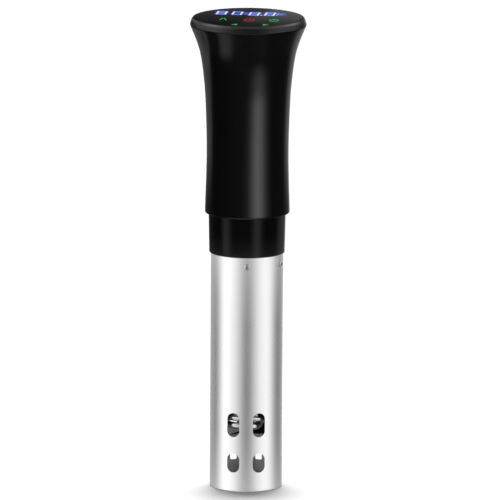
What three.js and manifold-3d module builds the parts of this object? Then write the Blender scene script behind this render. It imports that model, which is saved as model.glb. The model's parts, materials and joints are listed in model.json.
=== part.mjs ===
// Immersion circulator for sous vide cooking: a slotted steel sleeve with a heater coil and a
// propeller inside it, a collar, and a flared handle with a round touch panel on top.
// Millimetres, +Z up, origin at the middle of the foot, -Y towards the user.
import * as THREE from "three";
import { mergeVertices } from "three/addons/utils/BufferGeometryUtils.js";
import Module from "manifold-3d";

const wasm = await Module();
wasm.setup();

// ---------------------------------------------------------------- driving dimensions
// Fits
const seatGap = 0.3; // between two round or bent faces that seat on each other
const threadGap = 0.15; // between a screw or pin and its hole
const runningGap = 0.2; // between the turning shaft and what guides it
// Facets
const wideSides = 32; // facets round the casing
const innerSides = 24; // facets round the motor, the bearing boss and the display's boards
const shaftSides = 16; // facets round the shaft and what guides it
const smallSides = 12; // facets round screws, rods and holes

// Sleeve
const sleeveRadius = 27.5;
const sleeveWall = 0.8;
const sleeveLength = 205;
const sleeveLip = 1.2; // how far the foot is turned inwards, inside the wall
const slotWidth = 9.9; // at the front, with round ends
const backSlotWidth = 5.4;
const backSlotCorner = 1.3;
const slotBearing = 21; // degrees each side of the front and the back
const lowerSlotFoot = 14.8;
const lowerSlotLength = 14.8;
const upperSlotFoot = 42.3;
const upperSlotLength = 18.6;
const sleeveScrewDrop = 7.2; // below the collar's foot
const sleeveScrewBearings = [0, 66, 180, 246]; // degrees from the front, towards +X

// Screws: one size for the sleeve, one for the long tie screws, one for the motor
const screwShank = 1.5;
const screwHead = 2.6;
const screwHeadHeight = 1.6;
const sleeveScrewLength = 4.2;
const tieScrewLength = 20;
const tieScrewCount = 3;
const motorScrewCircle = 12;
const motorScrewLength = 4.4;

// Foot cap
const footCapHeight = 3.6;
const footCapRim = 3.4;
const footHubRadius = 6;
const footSpokeWidth = 3.2;
const footSpokeCount = 6;

// Bulkhead
const bulkheadDepth = 39; // below its flange
const bulkheadFloor = 6;
const bulkheadWall = 2.6;
const flangeThickness = 3;
const bossHeight = 13; // of the bearing boss, above the floor
const bossWall = 2.6;
const tieBossWall = 1.7;
const ringSection = 0.9; // section radius of the sealing rings
const bulkheadRingDepth = 14; // of the ring's middle, below the flange

// Collar
const collarSkirt = 23.5; // how far it overlaps the sleeve
const collarLedge = 4;
const collarWall = 1.1; // at its foot
const collarDraft = 0.55; // how much wider its top is
const collarEdge = 0.4;
const throatStep = 3.8; // from the tie screws in to the open middle of collar and handle

// Handle: outer radius at five stations above its floor
const handleWall = 2.5;
const handleFloor = 3;
const handleEdge = 1.2;
const handleFootRadius = 32.3;
const handleWaistRadius = 31.2;
const handleWaistHeight = 44;
const handleSwellRadius = 31.95;
const handleSwellHeight = 78.8;
const handleNeckRadius = 33.45;
const handleNeckHeight = 102;
const handleFlareRadius = 37;
const handleFlareHeight = 125.3;
const handleLipRadius = 44.2;
const handleHeight = 144.8;

// Bezel and glass
const bezelHeight = 5.9;
const bezelOverhang = 0.2; // of the handle's lip
const bezelDraft = 1.1; // how far the rim leans in below its shoulder
const bezelShoulderHeight = 4.2;
const bezelLedge = 2.6; // how far the ledge reaches in under the glass
const bezelSpigot = 3.6;
const bezelRim = 2.7; // from the bezel's widest edge to the glass's pocket
const glassThickness = 2;
const glassEdge = 0.25;

// Display
const boardThickness = 1.6;
const displayBoardInset = 1.3; // inside the bezel's ledge and the handle's wall
const ledHeight = 4.4;
const ledMargin = 1.6; // inside the bezel, at the display's corners
const ledDepth = 22;
const ledBack = 16.5; // from the panel's middle towards the back
const panelTurn = 4; // degrees, the panel's layout faces a little to the user's left
const carrierThickness = 2;
const carrierRim = 2;
const buzzerGap = 0.2; // over the carrier
const carrierHole = 12;
const touchPostRadius = 3;
const touchKeys = [
  [-18.5, -5],
  [1.5, -7.5],
  [20, -8.5],
  [-10.5, -26],
  [13, -26],
]; // from the panel's middle, before it is turned
const buzzerRadius = 4.5;
const buzzerHeight = 3;

// Motor
const plateThickness = 3;
const motorClearance = 1.4; // between the motor and the heads of the tie screws
const motorLength = 44;
const endCapThickness = 4;
const endCapBoss = 8;
const motorShaftRadius = 1.6;
const motorShaftTail = 2.4; // above the end cap

// Chassis and power board
const postInner = 21.2; // from the axis to a post's inner face
const postWidth = 10;
const bridgeThickness = 4;
const bridgeGap = 1; // above the end of the motor's shaft
const grooveDepth = 2.2;
const tenonLength = 2.4;
const tenonWidth = 6;
const boardHeadroom = 7.8; // over the power board, for its leads
// What stands on the board: width, height and depth. They are spaced evenly up each face.
const transformerCore = [24, 17, 12];
const transformerWinding = [17, 21, 15.5];
const transformerSide = -6; // of the board's middle
const relaySize = [19, 15, 15];
const terminalSize = [22, 9, 10];
const capacitorRadius = 5;
const capacitorLength = 16;
const capacitorSide = 13;
const sinkPlate = [26, 30, 2.5];
const sinkFinDepth = 12;
const sinkFinThickness = 1.4;
const sinkFinPitch = 4;
const sinkFinCount = 7;
const triacSize = [10, 15, 4.4];

// Drive
const couplingRadius = 5.5;
const couplingLength = 17;
const couplingGrip = 8; // on each shaft
const pumpShaftRadius = 2;
const shaftTail = 4; // the pump shaft below the propeller's hub
const sealLedge = 4; // under the shaft seal
const sealHeight = 5;
const bearingRadius = 5;
const bearingHeight = 4;
const guideWall = 1;
const guideRadius = 5;
const guideSocket = 2.5;
const guideRise = 16; // of its foot, above the propeller's hub
const bushLength = 8;
const bushFlange = 1.5;
const bushWall = 1.5;

// Propeller
const hubRadius = 5;
const hubHeight = 8;
const hubFoot = 40;
const bladeCount = 3;
const bladeClearance = 1.5; // inside the coil
const bladePitch = 34; // height gained in a full turn
const bladeThickness = 1.7;
const bladeSweep = 66; // degrees that a blade covers
const nutAcross = 7;
const nutHeight = 3.2;

// Heater
const heaterRadius = 2.5;
const coilClearance = 3.2; // inside the sleeve
const coilPitch = 5.9;
const coilTurns = 6.5;
const coilSides = 18; // straight lengths in each turn
const coilRise = 1.6; // of the tube's middle where the coil ends, above the propeller's hub
const coilEnd = -76; // degrees, where the coil ends and the return leg begins
const supplyNutGap = 1; // inside the bulkhead's wall
const returnNutGap = 0.5; // outside the bearing's boss
const supplyTurn = 46; // degrees between the supply leg and the coil's start
const returnTurn = 40; // degrees between the coil's end and the return leg
const legTop = 10; // of the legs, above the bulkhead's floor
const heaterNutAcross = 9;
const heaterNutHeight = 4;

// Probes
const probeRadius = 2;
const probeCircle = 13;
const probeBearing = 205;
const probeRise = 22; // of its tip, above the propeller's hub
const electrodeRadius = 1.5;
const electrodeCircle = 14;
const electrodeBearings = [250, 292];
const electrodeRises = [70, 78]; // of their tips, above the propeller's hub
const sensorTop = 6; // above the bulkhead's floor

// Cord gland
const glandHeight = 108; // above the handle's floor
const glandBore = 3.6;
const glandBody = 5;
const glandFlange = 7.2;
const glandFlangeThickness = 2.2;
const glandLength = 9; // inside the wall's outer face
const glandNutAcross = 13;
const glandNutHeight = 3;

// ---------------------------------------------------------------- what follows from them
// Radii
const screwHole = screwShank + threadGap;
const sleeveInner = sleeveRadius - sleeveWall;
const bulkheadRadius = sleeveInner - seatGap;
const grooveRadius = bulkheadRadius - 2 * ringSection + 0.2;
const bulkheadInner = bulkheadRadius - 2 * ringSection - bulkheadWall;
const flangeRadius = sleeveRadius;
const bearingBore = bearingRadius + seatGap;
const bossRadius = bearingBore + bossWall;
const tieBossRadius = screwHole + tieBossWall;
const tieScrewCircle = grooveRadius - tieBossRadius - 0.05;
const throatRadius = tieScrewCircle - throatStep;
const motorRadius = tieScrewCircle - screwHead - motorClearance;
const collarBore = sleeveRadius + seatGap;
const collarFootRadius = collarBore + collarWall;
const collarTopRadius = collarFootRadius + collarDraft;
const heaterNutCorner = heaterNutAcross / 2 / Math.cos(Math.PI / 6);
const supplyLegRadius = bulkheadInner - heaterNutCorner - supplyNutGap;
const returnLegRadius = bossRadius + heaterNutCorner + returnNutGap;
const coilRadius = sleeveInner - heaterRadius - coilClearance;
const bladeRadius = coilRadius - heaterRadius - bladeClearance;
const bezelFootRadius = handleLipRadius + bezelOverhang;
const bezelShoulderRadius = bezelFootRadius - bezelDraft;
const glassPocket = bezelFootRadius - bezelRim;
const glassRadius = glassPocket - seatGap;
const bezelInner = glassRadius - bezelLedge;
const ledReach = ledBack + ledDepth / 2;
const ledWidth = 2 * Math.sqrt((bezelInner - ledMargin) ** 2 - ledReach ** 2);

// Heights
const collarFoot = sleeveLength - collarSkirt;
const sleeveScrewHeight = collarFoot - sleeveScrewDrop;
const bulkheadFoot = sleeveLength - bulkheadDepth;
const bulkheadTop = bulkheadFoot + bulkheadFloor; // the floor's upper face
const sealFoot = bulkheadFoot + sealLedge;
const bearingFoot = sealFoot + sealHeight;
const flangeTop = sleeveLength + flangeThickness;
const handleFoot = flangeTop + collarLedge;
const plateFoot = handleFoot + handleFloor;
const motorFoot = plateFoot + plateThickness;
const motorTop = motorFoot + motorLength;
const shaftTop = motorTop + endCapThickness + motorShaftTail;
const bridgeFoot = shaftTop + bridgeGap;
const bridgeTop = bridgeFoot + bridgeThickness;
const handleTop = handleFoot + handleHeight;
const glandMiddle = handleFoot + glandHeight;
const glassTop = handleTop + bezelHeight;
const glassFoot = glassTop - glassThickness;
const boardTop = glassFoot - ledHeight - seatGap;
const boardFoot = boardTop - boardThickness;
const carrierRise = carrierThickness + buzzerHeight + buzzerGap;
const carrierFoot = boardFoot - carrierRise;
const powerBoardHeight = carrierFoot - bridgeTop - boardHeadroom;
const hubTop = hubFoot + hubHeight;
const coilFoot = hubTop + coilRise;

// ---------------------------------------------------------------- solids
const degrees = Math.PI / 180;

// A closed solid of manifold-3d from any closed three.js geometry.
function solidOf(geometry) {
  const bare = new THREE.BufferGeometry();
  bare.setAttribute("position", geometry.getAttribute("position"));
  if (geometry.index) bare.setIndex(geometry.index);
  const merged = mergeVertices(bare, 1e-4);
  const index = merged.index.array;
  const kept = [];
  for (let i = 0; i < index.length; i += 3) {
    const [a, b, c] = index.subarray(i, i + 3);
    if (a !== b && b !== c && c !== a) kept.push(a, b, c);
  }
  const vertProperties = merged.getAttribute("position").array;
  const make = (triVerts) =>
    new wasm.Manifold(new wasm.Mesh({ numProp: 3, vertProperties, triVerts }));
  const made = make(new Uint32Array(kept));
  return made.volume() > 0 ? made : make(new Uint32Array(kept.reverse()));
}

// A profile of [radius, height] points turned about Z. Corners are joined back to the start.
function turned(profile, sides = wideSides) {
  const points = profile.map(([r, z]) => new THREE.Vector2(Math.max(r, 0), z));
  points.push(points[0].clone());
  return solidOf(new THREE.LatheGeometry(points, sides).rotateX(Math.PI / 2));
}

const ring = (inner, outer, foot, top, sides = wideSides) =>
  turned(
    [
      [inner, foot],
      [outer, foot],
      [outer, top],
      [inner, top],
    ],
    sides,
  );

const rod = (radius, foot, top, sides = smallSides) =>
  ring(0, radius, foot, top, sides);

const block = (width, depth, foot, top, x = 0, y = 0) =>
  solidOf(
    new THREE.BoxGeometry(width, depth, top - foot).translate(
      x,
      y,
      (foot + top) / 2,
    ),
  );

// A flat shape in X and Y, raised from foot to top.
const raised = (shape, foot, top, curveSegments = 6) =>
  solidOf(
    new THREE.ExtrudeGeometry(shape, {
      depth: top - foot,
      bevelEnabled: false,
      curveSegments,
    }).translate(0, 0, foot),
  );

const polygon = (sides, across) =>
  new THREE.Shape(
    Array.from({ length: sides }, (_, i) => {
      const a = ((i + 0.5) / sides) * 2 * Math.PI;
      const r = across / 2 / Math.cos(Math.PI / sides);
      return new THREE.Vector2(r * Math.cos(a), r * Math.sin(a));
    }),
  );

const hexNut = (across, bore, foot, top, sides = smallSides) =>
  raised(polygon(6, across), foot, top).subtract(
    rod(bore, foot - 1, top + 1, sides),
  );

// A path that keeps to its own stations, however far apart they lie.
class StationPath extends THREE.Curve {
  constructor(stations) {
    super();
    this.stations = stations;
  }
  at(share, step) {
    const last = this.stations.length - 1;
    const i = Math.round(share * last) + step;
    return this.stations[Math.min(Math.max(i, 0), last)];
  }
  getPointAt(share) {
    return this.at(share, 0).clone();
  }
  getTangentAt(share) {
    return this.at(share, 1).clone().sub(this.at(share, -1)).normalize();
  }
}

// A round bar of that radius through stations.
function bar(stations, radius, sides) {
  const section = new THREE.Shape(
    copies(sides, (i) => {
      const a = (i / sides) * 2 * Math.PI;
      return new THREE.Vector2(radius * Math.cos(a), radius * Math.sin(a));
    }),
  );
  return solidOf(
    new THREE.ExtrudeGeometry(section, {
      extrudePath: new StationPath(stations),
      steps: stations.length - 1,
    }),
  );
}

// Rings of points, each as long as the last, joined into one closed skin with flat ends.
function lofted(rings) {
  const count = rings[0].length;
  const index = [];
  for (let k = 0; k + 1 < rings.length; k++)
    for (let i = 0; i < count; i++) {
      const j = (i + 1) % count;
      const [a, b, c, d] = [
        k * count + i,
        k * count + j,
        (k + 1) * count + j,
        (k + 1) * count + i,
      ];
      index.push(a, b, c, a, c, d);
    }
  const last = (rings.length - 1) * count;
  for (let i = 1; i + 1 < count; i++)
    index.push(0, i + 1, i, last, last + i, last + i + 1);
  return solidOf(
    new THREE.BufferGeometry().setFromPoints(rings.flat()).setIndex(index),
  );
}

const joined = (first, ...rest) => rest.reduce((a, b) => a.add(b), first);
const cut = (first, ...rest) => rest.reduce((a, b) => a.subtract(b), first);

// Turned about Z by a bearing in degrees.
const swung = (solid, bearing) => solid.rotate([0, 0, bearing]);

// From a solid made along +Z at the origin to one that points outwards from the axis of the
// part at that height and bearing, 0 being the front.
const radial = (solid, height, bearing) =>
  solid.rotate([90, 0, 0]).rotate([0, 0, bearing]).translate([0, 0, height]);

const copies = (count, solidAt) =>
  Array.from({ length: count }, (_, i) => solidAt(i));

const polar = (radius, bearing, height) =>
  new THREE.Vector3(
    radius * Math.cos(bearing * degrees),
    radius * Math.sin(bearing * degrees),
    height,
  );

// ---------------------------------------------------------------- materials
const finish = (color, roughness, metalness) =>
  new THREE.MeshStandardMaterial({ color, roughness, metalness });
const steel = finish(0xc9cacb, 0.32, 1);
const brightSteel = finish(0xd2d3d4, 0.18, 1);
const blackGloss = finish(0x0c0c0d, 0.24, 0);
const blackSatin = finish(0x2a2b2c, 0.4, 0);
const blackPlastic = finish(0x151617, 0.5, 0);
const greyPlastic = finish(0x6d7073, 0.6, 0);
const glassBlack = finish(0x18191a, 0.08, 0);
const rubber = finish(0x1d1d1e, 0.85, 0);
const circuitBoard = finish(0x1f5a36, 0.55, 0);
const brass = finish(0xb8964f, 0.35, 1);
const coreGrey = finish(0x3b3c3f, 0.6, 0.4);
const aluminium = finish(0xa9abad, 0.45, 1);
const ceramicWhite = finish(0xdedbd2, 0.6, 0);

const circulator = new THREE.Group();

function add(name, solid, material) {
  const { numProp, numVert, vertProperties, triVerts } = solid.getMesh();
  const position = new Float32Array(numVert * 3);
  for (let i = 0; i < numVert; i++)
    position.set(
      vertProperties.subarray(i * numProp, i * numProp + 3),
      i * 3,
    );
  const geometry = new THREE.BufferGeometry();
  geometry.setAttribute("position", new THREE.BufferAttribute(position, 3));
  geometry.setIndex(new THREE.BufferAttribute(triVerts, 1));
  geometry.computeVertexNormals();
  const mesh = new THREE.Mesh(geometry, material);
  mesh.name = name;
  circulator.add(mesh);
  return mesh;
}

// ---------------------------------------------------------------- sleeve and its foot
// A slot through both walls would be one cut, so each reaches from the axis outwards only.
function slotCut(foot, length, bearing, width, corner) {
  const across = width / 2 - corner;
  const along = length / 2 - corner;
  const shape = new THREE.Shape();
  [
    [across, along],
    [-across, along],
    [-across, -along],
    [across, -along],
  ].forEach(([x, y], i) =>
    shape.absarc(x, y, corner, (i * Math.PI) / 2, ((i + 1) * Math.PI) / 2, false),
  );
  const reach = sleeveRadius + 2;
  return radial(raised(shape, 0, reach, 3), foot + length / 2, bearing);
}

function sleeve() {
  const edge = copies(3, (i) => {
    const a = ((i / 2) * Math.PI) / 2;
    return [
      sleeveInner + sleeveWall * Math.sin(a),
      sleeveWall - sleeveWall * Math.cos(a),
    ];
  });
  const skin = turned([
    [sleeveInner - sleeveLip, 0],
    ...edge,
    [sleeveRadius, sleeveLength],
    [sleeveInner, sleeveLength],
    [sleeveInner, sleeveWall],
    [sleeveInner - sleeveLip, sleeveWall],
  ]);
  const sides = [
    [0, slotWidth, slotWidth / 2],
    [180, backSlotWidth, backSlotCorner],
  ];
  const slots = sides.flatMap(([side, width, corner]) =>
    [-slotBearing, slotBearing].flatMap((bearing) => [
      slotCut(lowerSlotFoot, lowerSlotLength, side + bearing, width, corner),
      slotCut(upperSlotFoot, upperSlotLength, side + bearing, width, corner),
    ]),
  );
  const holes = sleeveScrewBearings.map((bearing) =>
    radial(rod(screwHole, 0, sleeveRadius + 2), sleeveScrewHeight, bearing),
  );
  return cut(skin, ...slots, ...holes);
}

// An intake grille that stands on the sleeve's turned lip.
function footCap() {
  const foot = sleeveWall;
  const top = foot + footCapHeight;
  const outer = sleeveInner - seatGap;
  const rim = ring(outer - footCapRim, outer, foot, top);
  const hub = rod(footHubRadius, foot, top, 24);
  const spoke = block(
    outer - footCapRim / 2,
    footSpokeWidth,
    foot,
    top,
    (outer - footCapRim / 2) / 2,
  );
  const spokes = copies(footSpokeCount, (i) =>
    swung(spoke, (360 / footSpokeCount) * i + 30),
  );
  return joined(rim, hub, ...spokes);
}

// A pan head screw standing on its head's seat at height 0, the shank going down.
function screw(length, recess = true) {
  const body = turned(
    [
      [0, -length],
      [screwShank, -length],
      [screwShank, 0],
      [screwHead, 0],
      [screwHead, screwHeadHeight * 0.5],
      [screwHead * 0.66, screwHeadHeight],
      [0, screwHeadHeight],
    ],
    smallSides,
  );
  if (!recess) return body;
  const floor = screwHeadHeight * 0.4;
  const arm = block(
    screwHead * 1.1,
    screwHead * 0.24,
    floor,
    screwHeadHeight + 1,
  );
  return cut(body, arm, swung(arm, 90));
}

add("sleeve", sleeve(), steel);
add("foot_cap", footCap(), blackPlastic);
sleeveScrewBearings.forEach((bearing, i) =>
  add(
    `sleeve_screw_${i + 1}`,
    radial(
      screw(sleeveScrewLength).translate([0, 0, sleeveRadius]),
      sleeveScrewHeight,
      bearing,
    ),
    brightSteel,
  ),
);

// ---------------------------------------------------------------- bulkhead
const tieBearings = copies(tieScrewCount, (i) => 30 + (360 / tieScrewCount) * i);
const supplyBearing = coilEnd - 360 * coilTurns - supplyTurn;
const returnBearing = coilEnd + returnTurn;
const guideTop = bulkheadFoot + guideSocket;
const guideFoot = hubTop + guideRise;

function tieHoles(foot, top) {
  return tieBearings.map((bearing) =>
    swung(
      rod(screwHole, foot, top).translate([tieScrewCircle, 0, 0]),
      bearing,
    ),
  );
}

function throughHole(radius, circle, bearing) {
  return rod(radius, bulkheadFoot - 1, bulkheadTop + 1).translate([
    circle * Math.cos(bearing * degrees),
    circle * Math.sin(bearing * degrees),
    0,
  ]);
}

function bulkhead() {
  const ringZ = sleeveLength - bulkheadRingDepth;
  const ringHalf = ringSection + 0.2;
  const bossTop = bulkheadTop + bossHeight;
  const shaftWay = pumpShaftRadius + 0.6;
  const body = turned([
    [shaftWay, bulkheadFoot],
    [bulkheadRadius, bulkheadFoot],
    [bulkheadRadius, ringZ - ringHalf],
    [grooveRadius, ringZ - ringHalf],
    [grooveRadius, ringZ + ringHalf],
    [bulkheadRadius, ringZ + ringHalf],
    [bulkheadRadius, sleeveLength],
    [flangeRadius, sleeveLength],
    [flangeRadius, flangeTop],
    [bulkheadInner, flangeTop],
    [bulkheadInner, bulkheadTop],
    [bossRadius, bulkheadTop],
    [bossRadius, bossTop],
    [shaftWay, bossTop],
  ]);
  const tieBosses = tieBearings.map((bearing) =>
    swung(
      rod(tieBossRadius, bulkheadTop, flangeTop).translate([
        tieScrewCircle,
        0,
        0,
      ]),
      bearing,
    ),
  );
  const pocket = rod(bearingBore, sealFoot, bossTop + 1, shaftSides);
  const socket = rod(
    guideRadius + threadGap,
    bulkheadFoot - 1,
    guideTop,
    shaftSides,
  );
  const screwPockets = sleeveScrewBearings.map((bearing) =>
    radial(
      rod(screwHole, sleeveRadius - sleeveScrewLength - seatGap, sleeveRadius + 1),
      sleeveScrewHeight,
      bearing,
    ),
  );
  const leads = [
    throughHole(heaterRadius + threadGap, supplyLegRadius, supplyBearing),
    throughHole(heaterRadius + threadGap, returnLegRadius, returnBearing),
    throughHole(probeRadius + threadGap, probeCircle, probeBearing),
    ...electrodeBearings.map((bearing) =>
      throughHole(electrodeRadius + threadGap, electrodeCircle, bearing),
    ),
  ];
  return cut(
    joined(body, ...tieBosses),
    pocket,
    socket,
    ...screwPockets,
    ...leads,
    ...tieHoles(flangeTop - tieScrewLength, flangeTop + 1),
  );
}

// A sealing ring of round section.
const sealRing = (radius, height, section) =>
  turned(
    copies(6, (i) => [
      radius + section * Math.cos((i / 3) * Math.PI),
      height + section * Math.sin((i / 3) * Math.PI),
    ]),
  );

add("bulkhead", bulkhead(), blackPlastic);
add(
  "bulkhead_seal_ring",
  sealRing(
    grooveRadius + ringSection + 0.05,
    sleeveLength - bulkheadRingDepth,
    ringSection,
  ),
  rubber,
);

// ---------------------------------------------------------------- collar

function collar() {
  const skin = turned([
    [collarBore, collarFoot],
    [collarFootRadius - collarEdge, collarFoot],
    [collarFootRadius, collarFoot + collarEdge],
    [collarTopRadius, handleFoot - collarEdge],
    [collarTopRadius - collarEdge, handleFoot],
    [throatRadius, handleFoot],
    [throatRadius, flangeTop],
    [collarBore, flangeTop],
  ]);
  return cut(skin, ...tieHoles(flangeTop - 1, handleFoot + 1));
}

add("collar", collar(), blackGloss);

// ---------------------------------------------------------------- handle
// The handle's outer outline above its foot, as a smooth curve through its stations.
const handleCurve = new THREE.SplineCurve(
  [
    [handleFootRadius, handleEdge],
    [handleWaistRadius, handleWaistHeight],
    [handleSwellRadius, handleSwellHeight],
    [handleNeckRadius, handleNeckHeight],
    [handleFlareRadius, handleFlareHeight],
    [handleLipRadius, handleHeight],
  ].map(([r, z]) => new THREE.Vector2(r, handleFoot + z)),
);

// The curve's radius at a height.
function curveRadius(height) {
  const points = handleCurve.getPoints(200);
  const next = Math.max(points.findIndex((p) => p.y >= height - 1e-6), 1);
  const [a, b] = [points[next - 1], points[next]];
  return a.x + ((b.x - a.x) * (height - a.y)) / (b.y - a.y);
}

// The outline as the shell has it, in straight lengths that are shorter where it bends most.
const outline = (foot, top, count, inset) =>
  copies(count, (i) => {
    const z = foot + (top - foot) * (1 - (1 - i / (count - 1)) ** 1.6);
    return [curveRadius(z) - inset, z];
  });
const handleOutside = outline(handleFoot + handleEdge, handleTop, 12, 0);
const handleInside = outline(plateFoot, handleTop, 7, handleWall);

const radiusOn = (points) => (height) => {
  const next = points.findIndex(([, z]) => z >= height - 1e-6);
  const j = next < 0 ? points.length - 1 : Math.max(next, 1);
  const [[ra, za], [rb, zb]] = [points[j - 1], points[j]];
  return ra + ((rb - ra) * (height - za)) / (zb - za);
};
const handleRadius = radiusOn(handleOutside);
const handleInner = radiusOn(handleInside);

function handleShell() {
  const skin = turned([
    [throatRadius, handleFoot],
    [handleFootRadius - handleEdge, handleFoot],
    [handleFootRadius - handleEdge * 0.3, handleFoot + handleEdge * 0.3],
    ...handleOutside,
    ...handleInside.toReversed(),
    [throatRadius, plateFoot],
  ]);
  const glandHole = radial(
    rod(glandBody + threadGap, 0, handleLipRadius, shaftSides),
    glandMiddle,
    180,
  );
  return cut(skin, glandHole, ...tieHoles(handleFoot - 1, plateFoot + 1));
}

add("handle_shell", handleShell(), blackGloss);

// ---------------------------------------------------------------- cord gland, at the back
function cordGland() {
  const wall = handleRadius(glandMiddle);
  const tip = wall + glandFlangeThickness;
  const flange = turned(
    [
      [0, wall - 4],
      [glandFlange, wall - 4],
      [glandFlange, tip - 0.7],
      [glandFlange - 0.7, tip],
      [0, tip],
    ],
    shaftSides,
  );
  const around = [
    [0, handleFoot],
    ...handleOutside.map(([r, z]) => [r + seatGap, z]),
    [0, handleTop],
  ];
  const body = rod(glandBody, wall - glandLength, tip - 1, shaftSides);
  const bore = rod(glandBore, wall - glandLength - 1, tip + 1, shaftSides);
  return cut(
    joined(
      cut(radial(flange, glandMiddle, 180), turned(around)),
      radial(body, glandMiddle, 180),
    ),
    radial(bore, glandMiddle, 180),
  );
}

function glandNut() {
  const corner = glandNutAcross / 2 / Math.cos(Math.PI / 6);
  const narrowest = Math.min(
    ...[-corner, 0, corner].map((up) => handleInner(glandMiddle + up)),
  );
  const seat = Math.sqrt(narrowest ** 2 - corner ** 2) - seatGap;
  const nut = hexNut(
    glandNutAcross,
    glandBody + threadGap,
    seat - glandNutHeight,
    seat,
    shaftSides,
  );
  return radial(nut, glandMiddle, 180);
}

add("cord_gland", cordGland(), rubber);
add("cord_gland_nut", glandNut(), greyPlastic);

// ---------------------------------------------------------------- motor and its plate
const plateRadius =
  Math.min(handleInner(plateFoot), handleInner(motorFoot)) - seatGap;
const postReach =
  Math.min(
    ...copies(33, (i) => handleInner(motorFoot + (i / 32) * (carrierFoot - motorFoot))),
  ) -
  2 * seatGap;
const postOuter = Math.sqrt(postReach ** 2 - (postWidth / 2) ** 2);
const motorScrewSides = [45, 225];

function motorPlate() {
  const plate = ring(couplingRadius + 2.2, plateRadius, plateFoot, motorFoot);
  const screws = motorScrewSides.map((bearing) =>
    swung(
      rod(screwHole, plateFoot - 1, motorFoot + 1).translate([
        motorScrewCircle,
        0,
        0,
      ]),
      bearing,
    ),
  );
  const tenonMiddle = (postInner + postOuter) / 2;
  const sockets = [-1, 1].map((side) =>
    block(
      postOuter - postInner - 1 + 2 * seatGap,
      tenonWidth + 2 * seatGap,
      plateFoot - 1,
      motorFoot + 1,
      side * tenonMiddle,
    ),
  );
  return cut(plate, ...screws, ...sockets, ...tieHoles(plateFoot - 1, motorFoot + 1));
}

const motorBore = motorShaftRadius + runningGap;

function motorCan() {
  const can = turned(
    [
      [motorBore, motorFoot],
      [motorRadius - 1, motorFoot],
      [motorRadius, motorFoot + 1],
      [motorRadius, motorTop],
      [motorBore, motorTop],
    ],
    innerSides,
  );
  const holes = motorScrewSides.map((bearing) =>
    swung(
      rod(screwHole, motorFoot - 1, plateFoot + motorScrewLength + seatGap).translate([
        motorScrewCircle,
        0,
        0,
      ]),
      bearing,
    ),
  );
  return cut(can, ...holes);
}

function motorEndCap() {
  const step = motorTop + endCapThickness / 2;
  const top = motorTop + endCapThickness;
  return turned(
    [
      [motorBore, motorTop],
      [motorRadius, motorTop],
      [motorRadius, step],
      [endCapBoss, step],
      [endCapBoss, top],
      [motorBore, top],
    ],
    innerSides,
  );
}

add("motor_plate", motorPlate(), aluminium);
add("motor_can", motorCan(), steel);
add("motor_end_cap", motorEndCap(), blackPlastic);
motorScrewSides.forEach((bearing, i) =>
  add(
    `motor_screw_${i + 1}`,
    swung(
      screw(motorScrewLength, false)
        .rotate([180, 0, 0])
        .translate([motorScrewCircle, 0, plateFoot]),
      bearing,
    ),
    steel,
  ),
);
tieBearings.forEach((bearing, i) =>
  add(
    `tie_screw_${i + 1}`,
    swung(
      screw(tieScrewLength, false).translate([tieScrewCircle, 0, motorFoot]),
      bearing,
    ),
    steel,
  ),
);

// ---------------------------------------------------------------- chassis and power board
const boardHalf = postInner + grooveDepth - seatGap;

// Two posts joined by a bridge over the motor, grooved for the power board.
function chassis() {
  const shape = new THREE.Shape();
  shape.moveTo(-postOuter, motorFoot);
  shape.lineTo(-postInner, motorFoot);
  shape.lineTo(-postInner, bridgeFoot);
  shape.lineTo(postInner, bridgeFoot);
  shape.lineTo(postInner, motorFoot);
  shape.lineTo(postOuter, motorFoot);
  shape.lineTo(postOuter, carrierFoot);
  shape.lineTo(postInner, carrierFoot);
  shape.lineTo(postInner, bridgeTop);
  shape.lineTo(-postInner, bridgeTop);
  shape.lineTo(-postInner, carrierFoot);
  shape.lineTo(-postOuter, carrierFoot);
  const frame = raised(shape, -postWidth / 2, postWidth / 2).rotate([90, 0, 0]);
  const tenons = [-1, 1].map((side) =>
    block(
      postOuter - postInner - 1,
      tenonWidth,
      motorFoot - tenonLength,
      motorFoot + 1,
      (side * (postInner + postOuter)) / 2,
    ),
  );
  const grooves = [-1, 1].map((side) =>
    block(
      2 * grooveDepth,
      boardThickness + 2 * threadGap,
      bridgeTop,
      carrierFoot + 1,
      side * postInner,
    ),
  );
  return cut(joined(frame, ...tenons), ...grooves);
}

// The middle of one of the pieces that share a face of the power board, above its foot.
function spaced(heights, i) {
  const sum = (values) => values.reduce((a, b) => a + b, 0);
  const gap = (powerBoardHeight - sum(heights)) / (heights.length + 1);
  return gap * (i + 1) + sum(heights.slice(0, i)) + heights[i] / 2;
}
const frontHeights = [transformerWinding, relaySize, terminalSize].map(([, h]) => h);
const backHeights = [triacSize, sinkPlate].map(([, h]) => h);
const transformerPlace = [transformerSide, spaced(frontHeights, 0)];
const relayPlace = [0, spaced(frontHeights, 1)];
const terminalPlace = [0, spaced(frontHeights, 2)];
const capacitorPlace = [capacitorSide, spaced(frontHeights, 0)];
const triacPlace = [0, spaced(backHeights, 0)];
const sinkPlace = [0, spaced(backHeights, 1)];

// A box on the power board, on its front (-1) or its back (1).
const boardFace = boardThickness / 2;
const onBoard = ([width, height, depth], [x, z], side) =>
  block(
    width,
    depth,
    bridgeTop + z - height / 2,
    bridgeTop + z + height / 2,
    x,
    side * (boardFace + depth / 2),
  );

const transformer = () =>
  joined(
    onBoard(transformerCore, transformerPlace, -1),
    onBoard(transformerWinding, transformerPlace, -1),
  );

function heatSink() {
  const [x, z] = sinkPlace;
  const fin = [sinkFinThickness, sinkPlate[1], sinkFinDepth];
  const fins = copies(sinkFinCount, (i) =>
    onBoard(fin, [x + (i - (sinkFinCount - 1) / 2) * sinkFinPitch, z], 1),
  );
  return joined(onBoard(sinkPlate, sinkPlace, 1), ...fins);
}

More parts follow.
